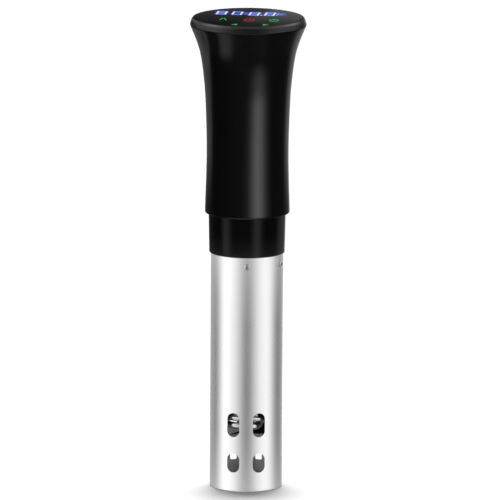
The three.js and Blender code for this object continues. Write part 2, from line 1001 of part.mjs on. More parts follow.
function capacitor() {
  const [x, z] = capacitorPlace;
  const tip = boardFace + capacitorLength;
  const can = turned(
    [
      [0, boardFace],
      [capacitorRadius, boardFace],
      [capacitorRadius, tip - 0.6],
      [capacitorRadius - 0.6, tip],
      [0, tip],
    ],
    innerSides,
  );
  return radial(can, bridgeTop + z, 0).translate([x, 0, 0]);
}

add("chassis", chassis(), greyPlastic);
add(
  "power_board",
  block(
    2 * boardHalf,
    boardThickness,
    bridgeTop,
    bridgeTop + powerBoardHeight,
  ),
  circuitBoard,
);
add("transformer", transformer(), coreGrey);
add("relay", onBoard(relaySize, relayPlace, -1), blackPlastic);
add("capacitor", capacitor(), blackSatin);
add("terminal_block", onBoard(terminalSize, terminalPlace, -1), ceramicWhite);
add("heat_sink", heatSink(), aluminium);
add("power_switch_triac", onBoard(triacSize, triacPlace, 1), blackPlastic);

// ---------------------------------------------------------------- display
const displayBoardRadius =
  Math.min(handleInner(carrierFoot), bezelInner) - displayBoardInset;

// A ring on the handle's rim. The glass sits in it, and its spigot follows the handle's inside.
function bezel() {
  const spigotFoot = handleTop - bezelSpigot;
  const spigotRadius = Math.min(handleInner(spigotFoot), handleInner(handleTop)) - seatGap;
  return turned([
    [bezelInner, spigotFoot],
    [spigotRadius, spigotFoot],
    [spigotRadius, handleTop],
    [bezelFootRadius - 0.5, handleTop],
    [bezelFootRadius, handleTop + 0.5],
    [bezelShoulderRadius, handleTop + bezelShoulderHeight],
    [glassPocket + 0.5, glassTop - 0.1],
    [glassPocket, glassTop - 0.3],
    [glassPocket, glassFoot],
    [bezelInner, glassFoot],
  ]);
}

function touchGlass() {
  return turned([
    [0, glassFoot],
    [glassRadius, glassFoot],
    [glassRadius, glassTop - glassEdge],
    [glassRadius - glassEdge, glassTop],
    [0, glassTop],
  ]);
}

function displayCarrier() {
  return turned([
    [carrierHole, carrierFoot],
    [displayBoardRadius, carrierFoot],
    [displayBoardRadius, boardFoot],
    [displayBoardRadius - carrierRim, boardFoot],
    [displayBoardRadius - carrierRim, carrierFoot + carrierThickness],
    [carrierHole, carrierFoot + carrierThickness],
  ], innerSides);
}

// A conducting foam post from the board up to the glass.
const touchPost = ([x, y]) =>
  swung(
    rod(touchPostRadius, boardTop, glassFoot - seatGap).translate([x, y, 0]),
    -panelTurn,
  );

add("bezel", bezel(), blackSatin);
add("touch_glass", touchGlass(), glassBlack);
add("display_carrier", displayCarrier(), greyPlastic);
add("display_board", rod(displayBoardRadius, boardFoot, boardTop, innerSides), circuitBoard);
add(
  "led_display",
  swung(
    block(ledWidth, ledDepth, boardTop, boardTop + ledHeight, 0, ledBack),
    -panelTurn,
  ),
  blackSatin,
);
touchKeys.forEach((key, i) =>
  add(`touch_post_${i + 1}`, touchPost(key), greyPlastic),
);
add(
  "buzzer",
  turned(
    [
      [1, boardFoot - buzzerHeight],
      [buzzerRadius, boardFoot - buzzerHeight],
      [buzzerRadius, boardFoot],
      [0, boardFoot],
      [0, boardFoot - 1],
      [1, boardFoot - 1],
    ],
    20,
  ).translate([displayBoardRadius * 0.6, 0, 0]),
  blackPlastic,
);

// ---------------------------------------------------------------- shaft and its bearings
const couplingTop = plateFoot - 1.6;
const couplingFoot = couplingTop - couplingLength;
const pumpShaftTop = couplingFoot + couplingGrip;
const guideInner = guideRadius - guideWall;
const shaftHole = pumpShaftRadius + runningGap;

function guideTube() {
  return ring(guideInner, guideRadius, guideFoot, guideTop, shaftSides);
}

function guideBush() {
  const bushOuter = guideInner - threadGap;
  return turned(
    [
      [shaftHole, guideFoot - bushFlange],
      [guideRadius, guideFoot - bushFlange],
      [guideRadius, guideFoot],
      [bushOuter, guideFoot],
      [bushOuter, guideFoot + bushLength],
      [bushOuter - bushWall * 0.3, guideFoot + bushLength],
      [shaftHole, guideFoot + bushLength - bushWall * 0.3],
    ],
    shaftSides,
  );
}

function shaftSeal() {
  const foot = sealFoot;
  return turned(
    [
      [shaftHole + 1.2, foot],
      [bearingRadius, foot],
      [bearingRadius, foot + sealHeight],
      [shaftHole + 0.8, foot + sealHeight],
      [shaftHole, foot + sealHeight * 0.7],
      [shaftHole, foot + sealHeight * 0.5],
      [shaftHole + 1.2, foot + sealHeight * 0.3],
    ],
    shaftSides,
  );
}

function ballBearing() {
  const top = bearingFoot + bearingHeight;
  return turned(
    [
      [shaftHole, bearingFoot],
      [bearingRadius, bearingFoot],
      [bearingRadius, top],
      [bearingRadius - 0.8, top],
      [bearingRadius - 0.8, top - 0.4],
      [shaftHole + 0.8, top - 0.4],
      [shaftHole + 0.8, top],
      [shaftHole, top],
    ],
    shaftSides,
  );
}

function coupling() {
  return turned(
    [
      [pumpShaftRadius + threadGap, couplingFoot],
      [couplingRadius - 0.6, couplingFoot],
      [couplingRadius, couplingFoot + 0.6],
      [couplingRadius, couplingTop - 0.6],
      [couplingRadius - 0.6, couplingTop],
      [motorShaftRadius + threadGap, couplingTop],
      [motorShaftRadius + threadGap, pumpShaftTop + 0.6],
      [pumpShaftRadius + threadGap, pumpShaftTop + 0.6],
    ],
    shaftSides,
  );
}

function pumpShaft() {
  const foot = hubFoot - shaftTail;
  return turned(
    [
      [0, foot],
      [pumpShaftRadius - 0.5, foot],
      [pumpShaftRadius, foot + 0.5],
      [pumpShaftRadius, pumpShaftTop],
      [0, pumpShaftTop],
    ],
    shaftSides,
  );
}

add("guide_tube", guideTube(), steel);
add("guide_bush", guideBush(), brass);
add("shaft_seal", shaftSeal(), rubber);
add("shaft_bearing", ballBearing(), brightSteel);
add("shaft_coupling", coupling(), brass);
add("pump_shaft", pumpShaft(), brightSteel);
add(
  "motor_shaft",
  rod(motorShaftRadius, pumpShaftTop + 1, shaftTop),
  brightSteel,
);

// ---------------------------------------------------------------- propeller
// One blade: a screw surface of constant pitch, thinner and narrower towards its tip.
function blade() {
  const rings = copies(7, (k) => {
    const share = k / 6;
    const radius = hubRadius - 1.2 + (bladeRadius - hubRadius + 1.2) * share;
    const sweep = bladeSweep * (1 - 0.28 * share ** 3);
    const thickness = bladeThickness * (1 - 0.35 * share);
    const station = (bearing, offset) =>
      polar(
        radius,
        bearing,
        hubFoot + hubHeight / 2 + (bladePitch * bearing) / 360 + offset,
      );
    const upper = copies(6, (i) => {
      const t = i / 5 - 0.5;
      return station(t * sweep, (thickness / 2) * (1 - 1.6 * t * t));
    });
    const lower = copies(6, (i) => {
      const t = 0.5 - i / 5;
      return station(t * sweep, (-thickness / 2) * (1 - 1.6 * t * t));
    });
    return [...upper, ...lower];
  });
  return lofted(rings);
}

function propeller() {
  const hub = turned(
    [
      [0, hubFoot],
      [hubRadius, hubFoot],
      [hubRadius, hubTop - 1.4],
      [hubRadius - 1.4, hubTop],
      [0, hubTop],
    ],
    shaftSides,
  );
  const blades = copies(bladeCount, (i) =>
    swung(blade(), (360 / bladeCount) * i + 250),
  );
  return cut(
    joined(hub, ...blades),
    rod(pumpShaftRadius + threadGap, hubFoot - 9, hubTop + 1),
  );
}

add("propeller", propeller(), blackPlastic);
add(
  "propeller_nut",
  hexNut(nutAcross, pumpShaftRadius + threadGap, hubFoot - nutHeight, hubFoot),
  brightSteel,
);

// ---------------------------------------------------------------- heater and probes
// One tube: a supply leg, a coil wound downwards, and a return leg up the middle of the coil.
function heaterStations() {
  const top = bulkheadTop + legTop;
  const coilTop = coilFoot + coilPitch * coilTurns;
  const coilStart = coilEnd - 360 * coilTurns;
  const middle = (supplyLegRadius + coilRadius) / 2;
  const smooth = (points) =>
    new THREE.CatmullRomCurve3(points, false, "centripetal").getPoints(9);
  const coil = copies(coilSides * coilTurns + 1, (i) =>
    polar(
      coilRadius,
      coilStart + (360 / coilSides) * i,
      coilTop - (coilPitch / coilSides) * i,
    ),
  );
  const supply = smooth([
    polar(supplyLegRadius, supplyBearing, coilTop + 17),
    polar(supplyLegRadius + 0.2, supplyBearing + supplyTurn * 0.04, coilTop + 10),
    polar(middle, supplyBearing + supplyTurn * 0.37, coilTop + 3.6),
    polar(coilRadius - 0.4, supplyBearing + supplyTurn * 0.72, coilTop + 0.9),
    coil[0],
  ]);
  const back = smooth([
    coil[coil.length - 1],
    polar(coilRadius - 1.6, coilEnd + returnTurn * 0.32, coilFoot - 0.4),
    polar(returnLegRadius + 2.6, coilEnd + returnTurn * 0.68, coilFoot + 1.4),
    polar(returnLegRadius + 0.2, coilEnd + returnTurn * 0.98, coilFoot + 7),
    polar(returnLegRadius, returnBearing, coilFoot + 14),
  ]);
  return [
    polar(supplyLegRadius, supplyBearing, top),
    ...supply.slice(0, -1),
    ...coil,
    ...back.slice(1),
    polar(returnLegRadius, returnBearing, top),
  ];
}

function heaterNut(radius, bearing) {
  const at = polar(radius, bearing, 0);
  return hexNut(
    heaterNutAcross,
    heaterRadius + threadGap,
    bulkheadTop,
    bulkheadTop + heaterNutHeight,
  ).translate([at.x, at.y, 0]);
}

// A rod with a rounded lower end, hanging from the bulkhead.
function probe(radius, circle, bearing, rise) {
  const foot = hubTop + rise;
  const at = polar(circle, bearing, 0);
  return turned(
    [
      [0, foot],
      [radius * 0.7, foot + radius * 0.3],
      [radius, foot + radius],
      [radius, bulkheadTop + sensorTop],
      [0, bulkheadTop + sensorTop],
    ],
    12,
  ).translate([at.x, at.y, 0]);
}

add("heater_coil", bar(heaterStations(), heaterRadius, 6), brightSteel);
add("heater_nut_1", heaterNut(supplyLegRadius, supplyBearing), brass);
add("heater_nut_2", heaterNut(returnLegRadius, returnBearing), brass);
add(
  "temperature_probe",
  probe(probeRadius, probeCircle, probeBearing, probeRise),
  brightSteel,
);
electrodeBearings.forEach((bearing, i) =>
  add(
    `level_electrode_${i + 1}`,
    probe(electrodeRadius, electrodeCircle, bearing, electrodeRises[i]),
    brightSteel,
  ),
);

export default circulator;
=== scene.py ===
import json
import math

import bmesh
import bpy
from mathutils import Matrix, Vector


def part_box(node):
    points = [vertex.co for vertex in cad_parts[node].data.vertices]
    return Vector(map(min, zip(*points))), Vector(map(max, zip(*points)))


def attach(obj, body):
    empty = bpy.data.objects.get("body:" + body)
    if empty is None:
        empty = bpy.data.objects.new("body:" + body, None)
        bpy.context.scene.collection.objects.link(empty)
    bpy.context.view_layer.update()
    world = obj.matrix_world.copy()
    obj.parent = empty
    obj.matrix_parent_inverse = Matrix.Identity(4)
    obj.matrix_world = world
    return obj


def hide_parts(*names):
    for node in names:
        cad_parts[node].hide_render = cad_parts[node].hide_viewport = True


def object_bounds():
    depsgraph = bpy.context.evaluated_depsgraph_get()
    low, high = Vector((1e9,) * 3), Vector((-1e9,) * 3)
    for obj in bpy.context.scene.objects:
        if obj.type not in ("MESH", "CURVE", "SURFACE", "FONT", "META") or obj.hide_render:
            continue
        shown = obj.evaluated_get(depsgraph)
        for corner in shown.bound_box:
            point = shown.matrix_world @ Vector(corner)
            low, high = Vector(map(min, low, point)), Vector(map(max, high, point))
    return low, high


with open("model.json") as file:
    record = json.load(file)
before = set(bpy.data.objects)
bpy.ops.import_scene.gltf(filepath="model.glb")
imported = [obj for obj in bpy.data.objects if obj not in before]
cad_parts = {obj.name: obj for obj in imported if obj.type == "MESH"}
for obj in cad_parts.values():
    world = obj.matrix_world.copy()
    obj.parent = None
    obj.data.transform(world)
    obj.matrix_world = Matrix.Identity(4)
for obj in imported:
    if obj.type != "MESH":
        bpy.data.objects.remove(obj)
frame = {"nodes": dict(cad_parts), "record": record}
nodes = frame["nodes"]
cad_box = [list(v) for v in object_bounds()]
scene = bpy.context.scene
scene.view_settings.view_transform = "Standard"

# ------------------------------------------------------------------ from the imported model
MM = 0.001
FOOT = cad_box[0][2]
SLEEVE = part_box("sleeve")
SLEEVE_R, SLEEVE_TOP = SLEEVE[1].x, SLEEVE[1].z
SLOT_OF = {s["node"]: s["material_slot"] for s in frame["record"]["subparts"]}

# ------------------------------------------------------------------ camera
LENS, SENSOR, CLIP = 1200, 36, (0.5, 60)
PHOTO_WIDTH, SLEEVE_WIDTH = 501, 72.2  # in pixels
CAMERA_TARGET = Vector((0.0026, 0, 0.1826))
CAMERA_UP, CAMERA_ROLL = 10.8, 0.32  # in degrees


def look(azimuth, elevation):
    """Unit vector from the object, by azimuth from the front (towards +X) and elevation."""
    a, e = math.radians(azimuth), math.radians(elevation)
    return Vector((math.sin(a) * math.cos(e), -math.cos(a) * math.cos(e), math.sin(e)))


def add_camera():
    data = bpy.data.cameras.new("camera")
    data.lens = LENS
    data.sensor_width = SENSOR
    data.clip_start, data.clip_end = CLIP
    cam = bpy.data.objects.new("camera", data)
    scene.collection.objects.link(cam)
    back = look(0, CAMERA_UP)
    per_pixel = SLEEVE_R * 2 / SLEEVE_WIDTH
    distance = per_pixel * PHOTO_WIDTH * LENS / SENSOR
    turn = (-back).to_track_quat("-Z", "Y").to_matrix().to_4x4()
    roll = Matrix.Rotation(math.radians(CAMERA_ROLL), 4, "Z")
    cam.matrix_world = Matrix.Translation(CAMERA_TARGET + back * distance) @ turn @ roll
    scene.camera = cam


add_camera()


# ------------------------------------------------------------------ node helpers
class Nodes:
    """Short calls for building one node tree."""

    def __init__(self, tree):
        self.tree = tree

    def add(self, kind, inputs=(), **settings):
        node = self.tree.nodes.new(kind)
        for key, value in settings.items():
            setattr(node, key, value)
        for key, value in dict(inputs).items():
            self.put(node.inputs[key], value)
        return node

    def put(self, socket, value):
        if isinstance(value, bpy.types.NodeSocket):
            self.tree.links.new(value, socket)
        else:
            socket.default_value = value

    def place(self):
        """The point on the object, in metres."""
        return self.add("ShaderNodeTexCoord").outputs["Object"]

    def math(self, operation, a, b):
        return self.add("ShaderNodeMath", {0: a, 1: b}, operation=operation).outputs[0]

    def range(self, value, lo, hi, to_lo, to_hi):
        limits = {"From Min": lo, "From Max": hi, "To Min": to_lo, "To Max": to_hi}
        return self.add("ShaderNodeMapRange", {"Value": value, **limits}).outputs[0]

    def rise(self, at, foot, top):
        """0 to 1 between two heights."""
        height = self.add("ShaderNodeSeparateXYZ", {0: at}).outputs["Z"]
        return self.range(height, foot, top, 0, 1)

    def noise(self, at, scale, detail=2.0, roughness=0.5, stretch=(1, 1, 1)):
        """Noise whose scale is per metre. A small third stretch draws it out along the height."""
        mapped = self.add("ShaderNodeMapping", {"Vector": at, "Scale": stretch}).outputs[0]
        settings = {"Scale": scale, "Detail": detail, "Roughness": roughness}
        return self.add("ShaderNodeTexNoise", {"Vector": mapped, **settings}).outputs["Fac"]

    def spread(self, noise, lo, hi):
        """A noise, most of which lies between 0.3 and 0.7, stretched over another range."""
        return self.range(noise, 0.3, 0.7, lo, hi)

    def ramp(self, value, stops):
        """Stops are (place, colour or grey level), in rising order."""
        node = self.add("ShaderNodeValToRGB", {"Fac": value})
        elements = node.color_ramp.elements
        elements.remove(elements[1])
        for i, (place, colour) in enumerate(stops):
            element = elements.new(place) if i else elements[0]
            element.position = place
            element.color = colour if isinstance(colour, tuple) else grey(colour)
        return node.outputs["Color"]

    def mix(self, factor, a, b):
        node = self.add("ShaderNodeMix", {"Factor": factor}, data_type="RGBA")
        self.put(node.inputs[6], a)
        self.put(node.inputs[7], b)
        return node.outputs[2]

    def bump(self, height, strength, distance):
        settings = {"Strength": strength, "Distance": distance}
        return self.add("ShaderNodeBump", {"Height": height, **settings}).outputs[0]

    def emit(self, output, colour, strength):
        """Makes the tree a plain light, with the output node of that kind."""
        emission = self.add("ShaderNodeEmission", {"Color": colour, "Strength": strength})
        self.put(self.add(output).inputs["Surface"], emission.outputs[0])


def rgb(r, g, b):
    return (r, g, b, 1)


def grey(level):
    return rgb(level, level, level)


def shade(colour, factor):
    return rgb(*(c * factor for c in colour))


def empty_tree(owner):
    """Turns on the nodes of a material, world or lamp and clears them."""
    owner.use_nodes = True
    owner.node_tree.nodes.clear()
    return Nodes(owner.node_tree)


def new_material(name, constants):
    """A material of one principled shader, whose sockets that don't vary are set at once.

    It comes with the helper for its nodes and with the shader's inputs.
    """
    material = bpy.data.materials.new(name)
    n = empty_tree(material)
    shader = n.add("ShaderNodeBsdfPrincipled")
    n.put(n.add("ShaderNodeOutputMaterial").inputs["Surface"], shader.outputs[0])
    for key, value in constants.items():
        shader.inputs[key].default_value = value
    return material, n, shader.inputs


# ------------------------------------------------------------------ materials
COLLAR_FOOT, COLLAR_TOP = 0.1815, 0.212  # in metres
# The collar's base colour from its foot up: painted shade, darkest at the top under the handle's
# overhang.
COLLAR_PAINTED_SHADE = [(0.0, 0.014), (0.08, 0.009), (0.2, 0.006), (0.45, 0.002), (0.65, 0.001)]
# How much the sleeve is rougher and, as painted light, paler, from its foot up to the collar.
STEEL_DULL_AND_PAINTED_LIGHT_ENDS = [
    (0.0, 1.0), (0.1, 0.6), (0.25, 0.1), (0.45, 0.0), (0.7, 0.12), (0.85, 0.5), (1.0, 1.0),
]


def gloss_black(name, specular, roughness, painted_shade_under_handle=False):
    """Polished black moulding: orange peel, wiping marks, and dust, or instead painted shade: a
    base colour darker from the foot up to under the handle.
    """
    material, n, shader = new_material(name, {"Specular IOR Level": specular})
    at = n.place()
    peel = n.noise(at, 160)
    wipe = n.noise(at, 900, 2, 0.6, (1, 1, 0.08))
    cloud = n.spread(n.noise(at, 26, 4, 0.55), roughness - 0.015, roughness + 0.02)
    if painted_shade_under_handle:
        # painted shade: the base colour darkens towards the top of the collar, under the handle
        base = n.ramp(n.rise(at, COLLAR_FOOT, COLLAR_TOP), COLLAR_PAINTED_SHADE)
    else:
        dust = n.ramp(n.noise(at, 2600, 1), [(0.74, 0.0), (0.80, 1.0)])
        base = n.mix(dust, rgb(0.0010, 0.0010, 0.0011), grey(0.004))
    n.put(shader["Base Color"], base)
    n.put(shader["Roughness"], n.math("ADD", cloud, n.spread(wipe, -0.01, 0.012)))
    height = n.math("ADD", peel, n.math("MULTIPLY", wipe, 0.06))
    n.put(shader["Normal"], n.bump(height, 0.10, 0.00006))
    return material


def brushed_steel(name, colour, roughness, grain=(1, 1, 1), strength=0.2, duller_ends_painted_light=0):
    """Metal with a drawn grain and a mottled polish, for the sleeve also duller at its ends, whose
    base colour is paler there as painted light.
    """
    material, n, shader = new_material(name, {"Metallic": 1})
    at = n.place()
    fine = n.noise(at, 5200, 3, 0.6, grain)
    broad = n.noise(at, 900, 3, 0.6, grain)
    cloud = n.noise(at, 30, 4, 0.6)
    smudge = n.noise(at, 75, 3, 0.5, (1, 1, 0.4))
    tone = n.math("ADD", n.spread(cloud, -0.3, 0.3), n.spread(broad, -0.3, 0.3))
    base = n.mix(n.range(tone, -1, 1, 0, 1), shade(colour, 0.965), shade(colour, 1.03))
    dull = n.spread(smudge, roughness - 0.01, roughness + 0.02)
    dull = n.math("ADD", dull, n.spread(fine, -0.02, 0.02))
    if duller_ends_painted_light:
        # painted light: the base colour turns paler towards both ends of the sleeve, which are also
        # rougher
        ends = n.ramp(n.rise(at, FOOT, COLLAR_FOOT), STEEL_DULL_AND_PAINTED_LIGHT_ENDS)
        base = n.mix(n.math("MULTIPLY", ends, 0.5), base, grey(0.98))
        dull = n.math("ADD", dull, n.math("MULTIPLY", ends, duller_ends_painted_light))
    n.put(shader["Base Color"], base)
    n.put(shader["Roughness"], dull)
    height = n.math("ADD", fine, n.math("MULTIPLY", broad, 0.08))
    n.put(shader["Normal"], n.bump(height, strength, 0.00001))
    return material


def moulded(name, colour, roughness, grain=1500, depth=0.25, specular=0.5):
    """Moulded plastic or rubber with a fine eroded grain and slightly uneven tone."""
    material, n, shader = new_material(name, {"Specular IOR Level": specular})
    at = n.place()
    fine = n.noise(at, grain, 4, 0.65)
    cloud = n.spread(n.noise(at, 40, 4, 0.6), 0, 1)
    n.put(shader["Base Color"], n.mix(cloud, shade(colour, 0.85), shade(colour, 1.12)))
    n.put(shader["Roughness"], n.spread(fine, roughness - 0.05, roughness + 0.06))
    n.put(shader["Normal"], n.bump(fine, depth, 0.00008))
    return material


# Names, each with its kind and that kind's settings in order.
PAINTS = {
    "gloss_black": (gloss_black, 0.5, 0.13),
    "collar_black": (gloss_black, 0.25, 0.15, True),
    "satin_black": (gloss_black, 1.0, 0.24),
    "sleeve_steel": (brushed_steel, (0.80, 0.80, 0.81), 0.25, (1, 1, 0.02), 0.06, 0.17),
    "bright_steel": (brushed_steel, (0.78, 0.78, 0.78), 0.2, (1, 1, 1), 0.08),
    "screw_steel": (brushed_steel, (0.52, 0.52, 0.52), 0.42),
    "heater_steel": (brushed_steel, (0.58, 0.57, 0.56), 0.22),
    "motor_steel": (brushed_steel, (0.62, 0.62, 0.63), 0.35, (1, 1, 0.05)),
    "aluminium_plate": (brushed_steel, (0.66, 0.67, 0.68), 0.42, (0.05, 1, 1)),
    "bush_brass": (brushed_steel, (0.72, 0.55, 0.27), 0.3, (1, 1, 0.1), 0.15),
    "core_grey": (moulded, (0.09, 0.092, 0.1), 0.6),
    "black_plastic": (moulded, (0.010, 0.010, 0.0105), 0.42, 1900, 0.2, 0.4),
    "grey_plastic": (moulded, (0.30, 0.31, 0.32), 0.55),
    "white_plastic": (moulded, (0.78, 0.77, 0.72), 0.5),
    "circuit_board": (moulded, (0.02, 0.13, 0.05), 0.45, 700, 0.4),
    "post_foam": (moulded, (0.06, 0.06, 0.065), 0.9, 2600, 0.8),
    "seal_rubber": (moulded, (0.012, 0.012, 0.012), 0.7, 1600, 0.35),
}
MAT = {name: kind(name, *settings) for name, (kind, *settings) in PAINTS.items()}


# ------------------------------------------------------------------ mesh helpers
def at_angle(radius, angle):
    return radius * math.cos(angle), radius * math.sin(angle)


def finished(name, bm):
    mesh = bpy.data.meshes.new(name)
    bm.to_mesh(mesh)
    bm.free()
    return mesh


def bare(name, mesh):
    obj = bpy.data.objects.new(name, mesh)
    scene.collection.objects.link(obj)
    return obj


def band(bm, a, b):
    """Faces between two closed rings of vertices, of which one may be a single point."""
    for i in range(max(len(a), len(b))):
        j = (i + 1) % max(len(a), len(b))
        if len(a) == 1:
            bm.faces.new((a[0], b[j], b[i]))
        elif len(b) == 1:
            bm.faces.new((a[i], a[j], b[0]))
        else:
            bm.faces.new((a[i], a[j], b[j], b[i]))


def revolve(profile, sides, closed=True):
    """Mesh of a list of (radius, height) in metres turned about Z. Points on the axis merge."""
    bm = bmesh.new()
    angles = [2 * math.pi * i / sides for i in range(sides)]
    rings = []
    for r, z in profile:
        places = [at_angle(r, a) for a in angles] if r > 1e-7 else [(0, 0)]
        rings.append([bm.verts.new((x, y, z)) for x, y in places])
    for a, b in zip(rings, rings[1:] + ([rings[0]] if closed else [])):
        if len(a) > 1 or len(b) > 1:
            band(bm, a, b)
    bmesh.ops.recalc_face_normals(bm, faces=bm.faces)
    return finished("turned", bm)


def rounded(profile, radius, steps=4):
    """The same closed profile, its corners sharper than 12 degrees rounded by up to a radius."""
    out = []
    for i, (r, z) in enumerate(profile):
        here, after = Vector((r, z)), Vector(profile[(i + 1) % len(profile)])
        a, b = Vector(profile[i - 1]) - here, after - here
        if r < 1e-7 or a.angle(b) > math.radians(168):
            out.append((r, z))
            continue
        back = min(radius / math.tan(a.angle(b) / 2), a.length * 0.45, b.length * 0.45)
        p, q = here + a.normalized() * back, here + b.normalized() * back
        for k in range(steps + 1):
            t = k / steps
            at = p * (1 - t) ** 2 + here * 2 * t * (1 - t) + q * t * t
            out.append((at.x, at.y))
    return out


def prism(points, low, high, matrix):
    """A flat outline in X and Y raised from low to high, then moved by a matrix."""
    bm = bmesh.new()
    lower = [bm.verts.new((x, y, low)) for x, y in points]
    upper = [bm.verts.new((x, y, high)) for x, y in points]
    bm.faces.new(lower[::-1])
    bm.faces.new(upper)
    band(bm, lower, upper)
    bm.transform(matrix)
    bmesh.ops.recalc_face_normals(bm, faces=bm.faces)
    return finished("prism", bm)


def about_z(degrees):
    return Matrix.Rotation(math.radians(degrees), 4, "Z")


def outward(bearing, height):
    """Matrix that turns +Z at the origin into the outward direction at a bearing from the front."""
    lean = Matrix.Rotation(math.radians(90), 4, "X")
    return Matrix.Translation((0, 0, height)) @ about_z(bearing) @ lean


def mm(points):
    return [(a * MM, b * MM) for a, b in points]


def strip(start, end, half_width):
    """A rectangle along X, given in millimetres."""
    low, high = -half_width, half_width
    return mm([(start, low), (end, low), (end, high), (start, high)])


def evaluated(obj):
    graph = bpy.context.evaluated_depsgraph_get()
    return bpy.data.meshes.new_from_object(obj.evaluated_get(graph))


def apply_modifiers(obj):
    mesh = evaluated(obj)
    obj.modifiers.clear()
    obj.data = mesh


def boolean(obj, others, operation="DIFFERENCE"):
    """Cuts objects out of obj, or joins them to it, and removes them."""
    for other in others:
        modifier = obj.modifiers.new("boolean", "BOOLEAN")
        modifier.operation = operation
        modifier.solver = "EXACT"
        modifier.object = other
        apply_modifiers(obj)
        bpy.data.objects.remove(other)


# ------------------------------------------------------------------ the pieces
replaced = set()


def adopt(obj, node, material, body="body", angle=30):
    """Gives a new piece its material, its body and the CAD node it stands for."""
    obj.data.materials.clear()
    obj.data.materials.append(material)
    obj.data.shade_smooth()
    obj.data.set_sharp_from_angle(angle=math.radians(angle))
    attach(obj, body)
    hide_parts(node)
    replaced.add(node)
    return obj


# From here to the floor, sizes are in millimetres until mm() or MM makes them metres.

TUBE_SIDES, TOP_SIDES = 192, 256  # faces round the sleeve and collar, then round the handle up

# ------------------------------------------------------------------ sleeve
WALL, LIP = 0.8, 1.2  # thickness, and how far its foot turns in past that
RING_GAP, RINGS = 2, 40  # the faces between foot and top
SLOTS = [(14.8, 14.8), (42.3, 18.6)]  # foot and length of each row
FRONT_SLOT = (9.9, 9.9 / 2)  # width and corner radius
BACK_SLOT = (5.4, 1.3)
SLOT_BEARINGS = {-21: FRONT_SLOT, 21: FRONT_SLOT, 159: BACK_SLOT, 201: BACK_SLOT}
SLOT_CUT, HOLE_CUT = (15, 34), (20, 30)  # how far out from the axis the cutters reach
SCREW_BEARINGS = [0, 66, 180, 246]
SCREW_HEIGHT, HOLE_R = 174.3, 1.7


def slot_outline(width, length, corner):
    points = []
    for k in range(4):
        x = (width / 2 - corner) * (1 if k in (0, 3) else -1)
        y = (length / 2 - corner) * (1 if k in (0, 1) else -1)
        for i in range(11 if corner < width / 2 else 10):
            across, along = at_angle(corner, math.radians(90 * k + 9 * i))
            points.append((x + across, y + along))
    return mm(points)


def make_sleeve():
    wall, gap = WALL * MM, RING_GAP * MM
    inner = SLEEVE_R - wall
    lip = inner - LIP * MM
    foot = [
        (inner + wall * math.sin(a), FOOT + wall * (1 - math.cos(a)))
        for a in [math.radians(90 * k / 6) for k in range(7)]
    ]
    span = SLEEVE_TOP - FOOT - 2 * gap
    heights = [FOOT + gap + span * k / RINGS for k in range(RINGS + 1)]
    profile = [(lip, FOOT)] + foot + [(SLEEVE_R, z) for z in heights]
    profile += [(SLEEVE_R, SLEEVE_TOP), (inner, SLEEVE_TOP)]
    profile += [(inner, z) for z in reversed(heights)] + [(inner, FOOT + wall), (lip, FOOT + wall)]
    sleeve = bare("sleeve_skin", revolve(profile, TUBE_SIDES))
    cutters = []
    for bearing, (width, corner) in SLOT_BEARINGS.items():
        for low, length in SLOTS:
            place = outward(bearing, (low + length / 2) * MM)
            start, end = (d * MM for d in SLOT_CUT)
            cutters.append(prism(slot_outline(width, length, corner), start, end, place))
    for bearing in SCREW_BEARINGS:
        hole = [at_angle(HOLE_R * MM, math.pi * k / 8) for k in range(16)]
        start, end = (d * MM for d in HOLE_CUT)
        cutters.append(prism(hole, start, end, outward(bearing, SCREW_HEIGHT * MM)))
    boolean(sleeve, [bare("cutter", mesh) for mesh in cutters])
    return sleeve


adopt(make_sleeve(), "sleeve", MAT["sleeve_steel"])

SCREW_HEAD = [
    (0, -3.2), (1.5, -3.2), (1.5, 0), (2.4, 0), (2.4, 0.35), (2.25, 0.8), (1.9, 1.15),
    (1.3, 1.38), (0.7, 1.45), (0, 1.45),
]
CROSS_REACH, CROSS_HALF, CROSS_FLOOR, CROSS_TOP, CROSS_TURN = 1.5, 0.34, 0.35, 2.2, 20


def make_screw(bearing):
    screw = bare("screw_head", revolve(mm(SCREW_HEAD), 40))
    arm = strip(-CROSS_REACH, CROSS_REACH, CROSS_HALF)
    arms = [
        bare("arm", prism(arm, CROSS_FLOOR * MM, CROSS_TOP * MM, about_z(turn + CROSS_TURN)))
        for turn in (0, 90)
    ]
    boolean(screw, arms)
    place = outward(bearing, SCREW_HEIGHT * MM) @ Matrix.Translation((0, 0, SLEEVE_R))
    screw.data.transform(place)
    return screw


for i, bearing in enumerate(SCREW_BEARINGS):
    piece = adopt(make_screw(bearing), f"sleeve_screw_{i + 1}", MAT["screw_steel"])
    piece.name = f"screw_{i + 1}"

# ------------------------------------------------------------------ collar
NECK_R = 17.6  # the way from the collar into the handle
COLLAR = [
    (27.8, 181.5), (28.5, 181.5), (28.9, 181.9), (29.45, 211.6), (29.05, 212.0),
    (NECK_R, 212.0), (NECK_R, 208.0), (27.8, 208.0),
]
collar = bare("collar_skin", revolve(rounded(mm(COLLAR), 0.35 * MM), TUBE_SIDES))
adopt(collar, "collar", MAT["collar_black"])

# ------------------------------------------------------------------ handle
HANDLE = [
    (32.3, 213.2), (31.2, 256.0), (31.95, 290.8), (33.45, 314.0), (37.0, 337.3), (44.2, 356.8),
]
HANDLE_FOOT, HANDLE_FLOOR, HANDLE_WALL = 212.0, 215.0, 2.5
ROUND_R, ROUND_Z, ROUND = 31.1, 213.2, 1.2  # centre and radius of its rounded lower edge


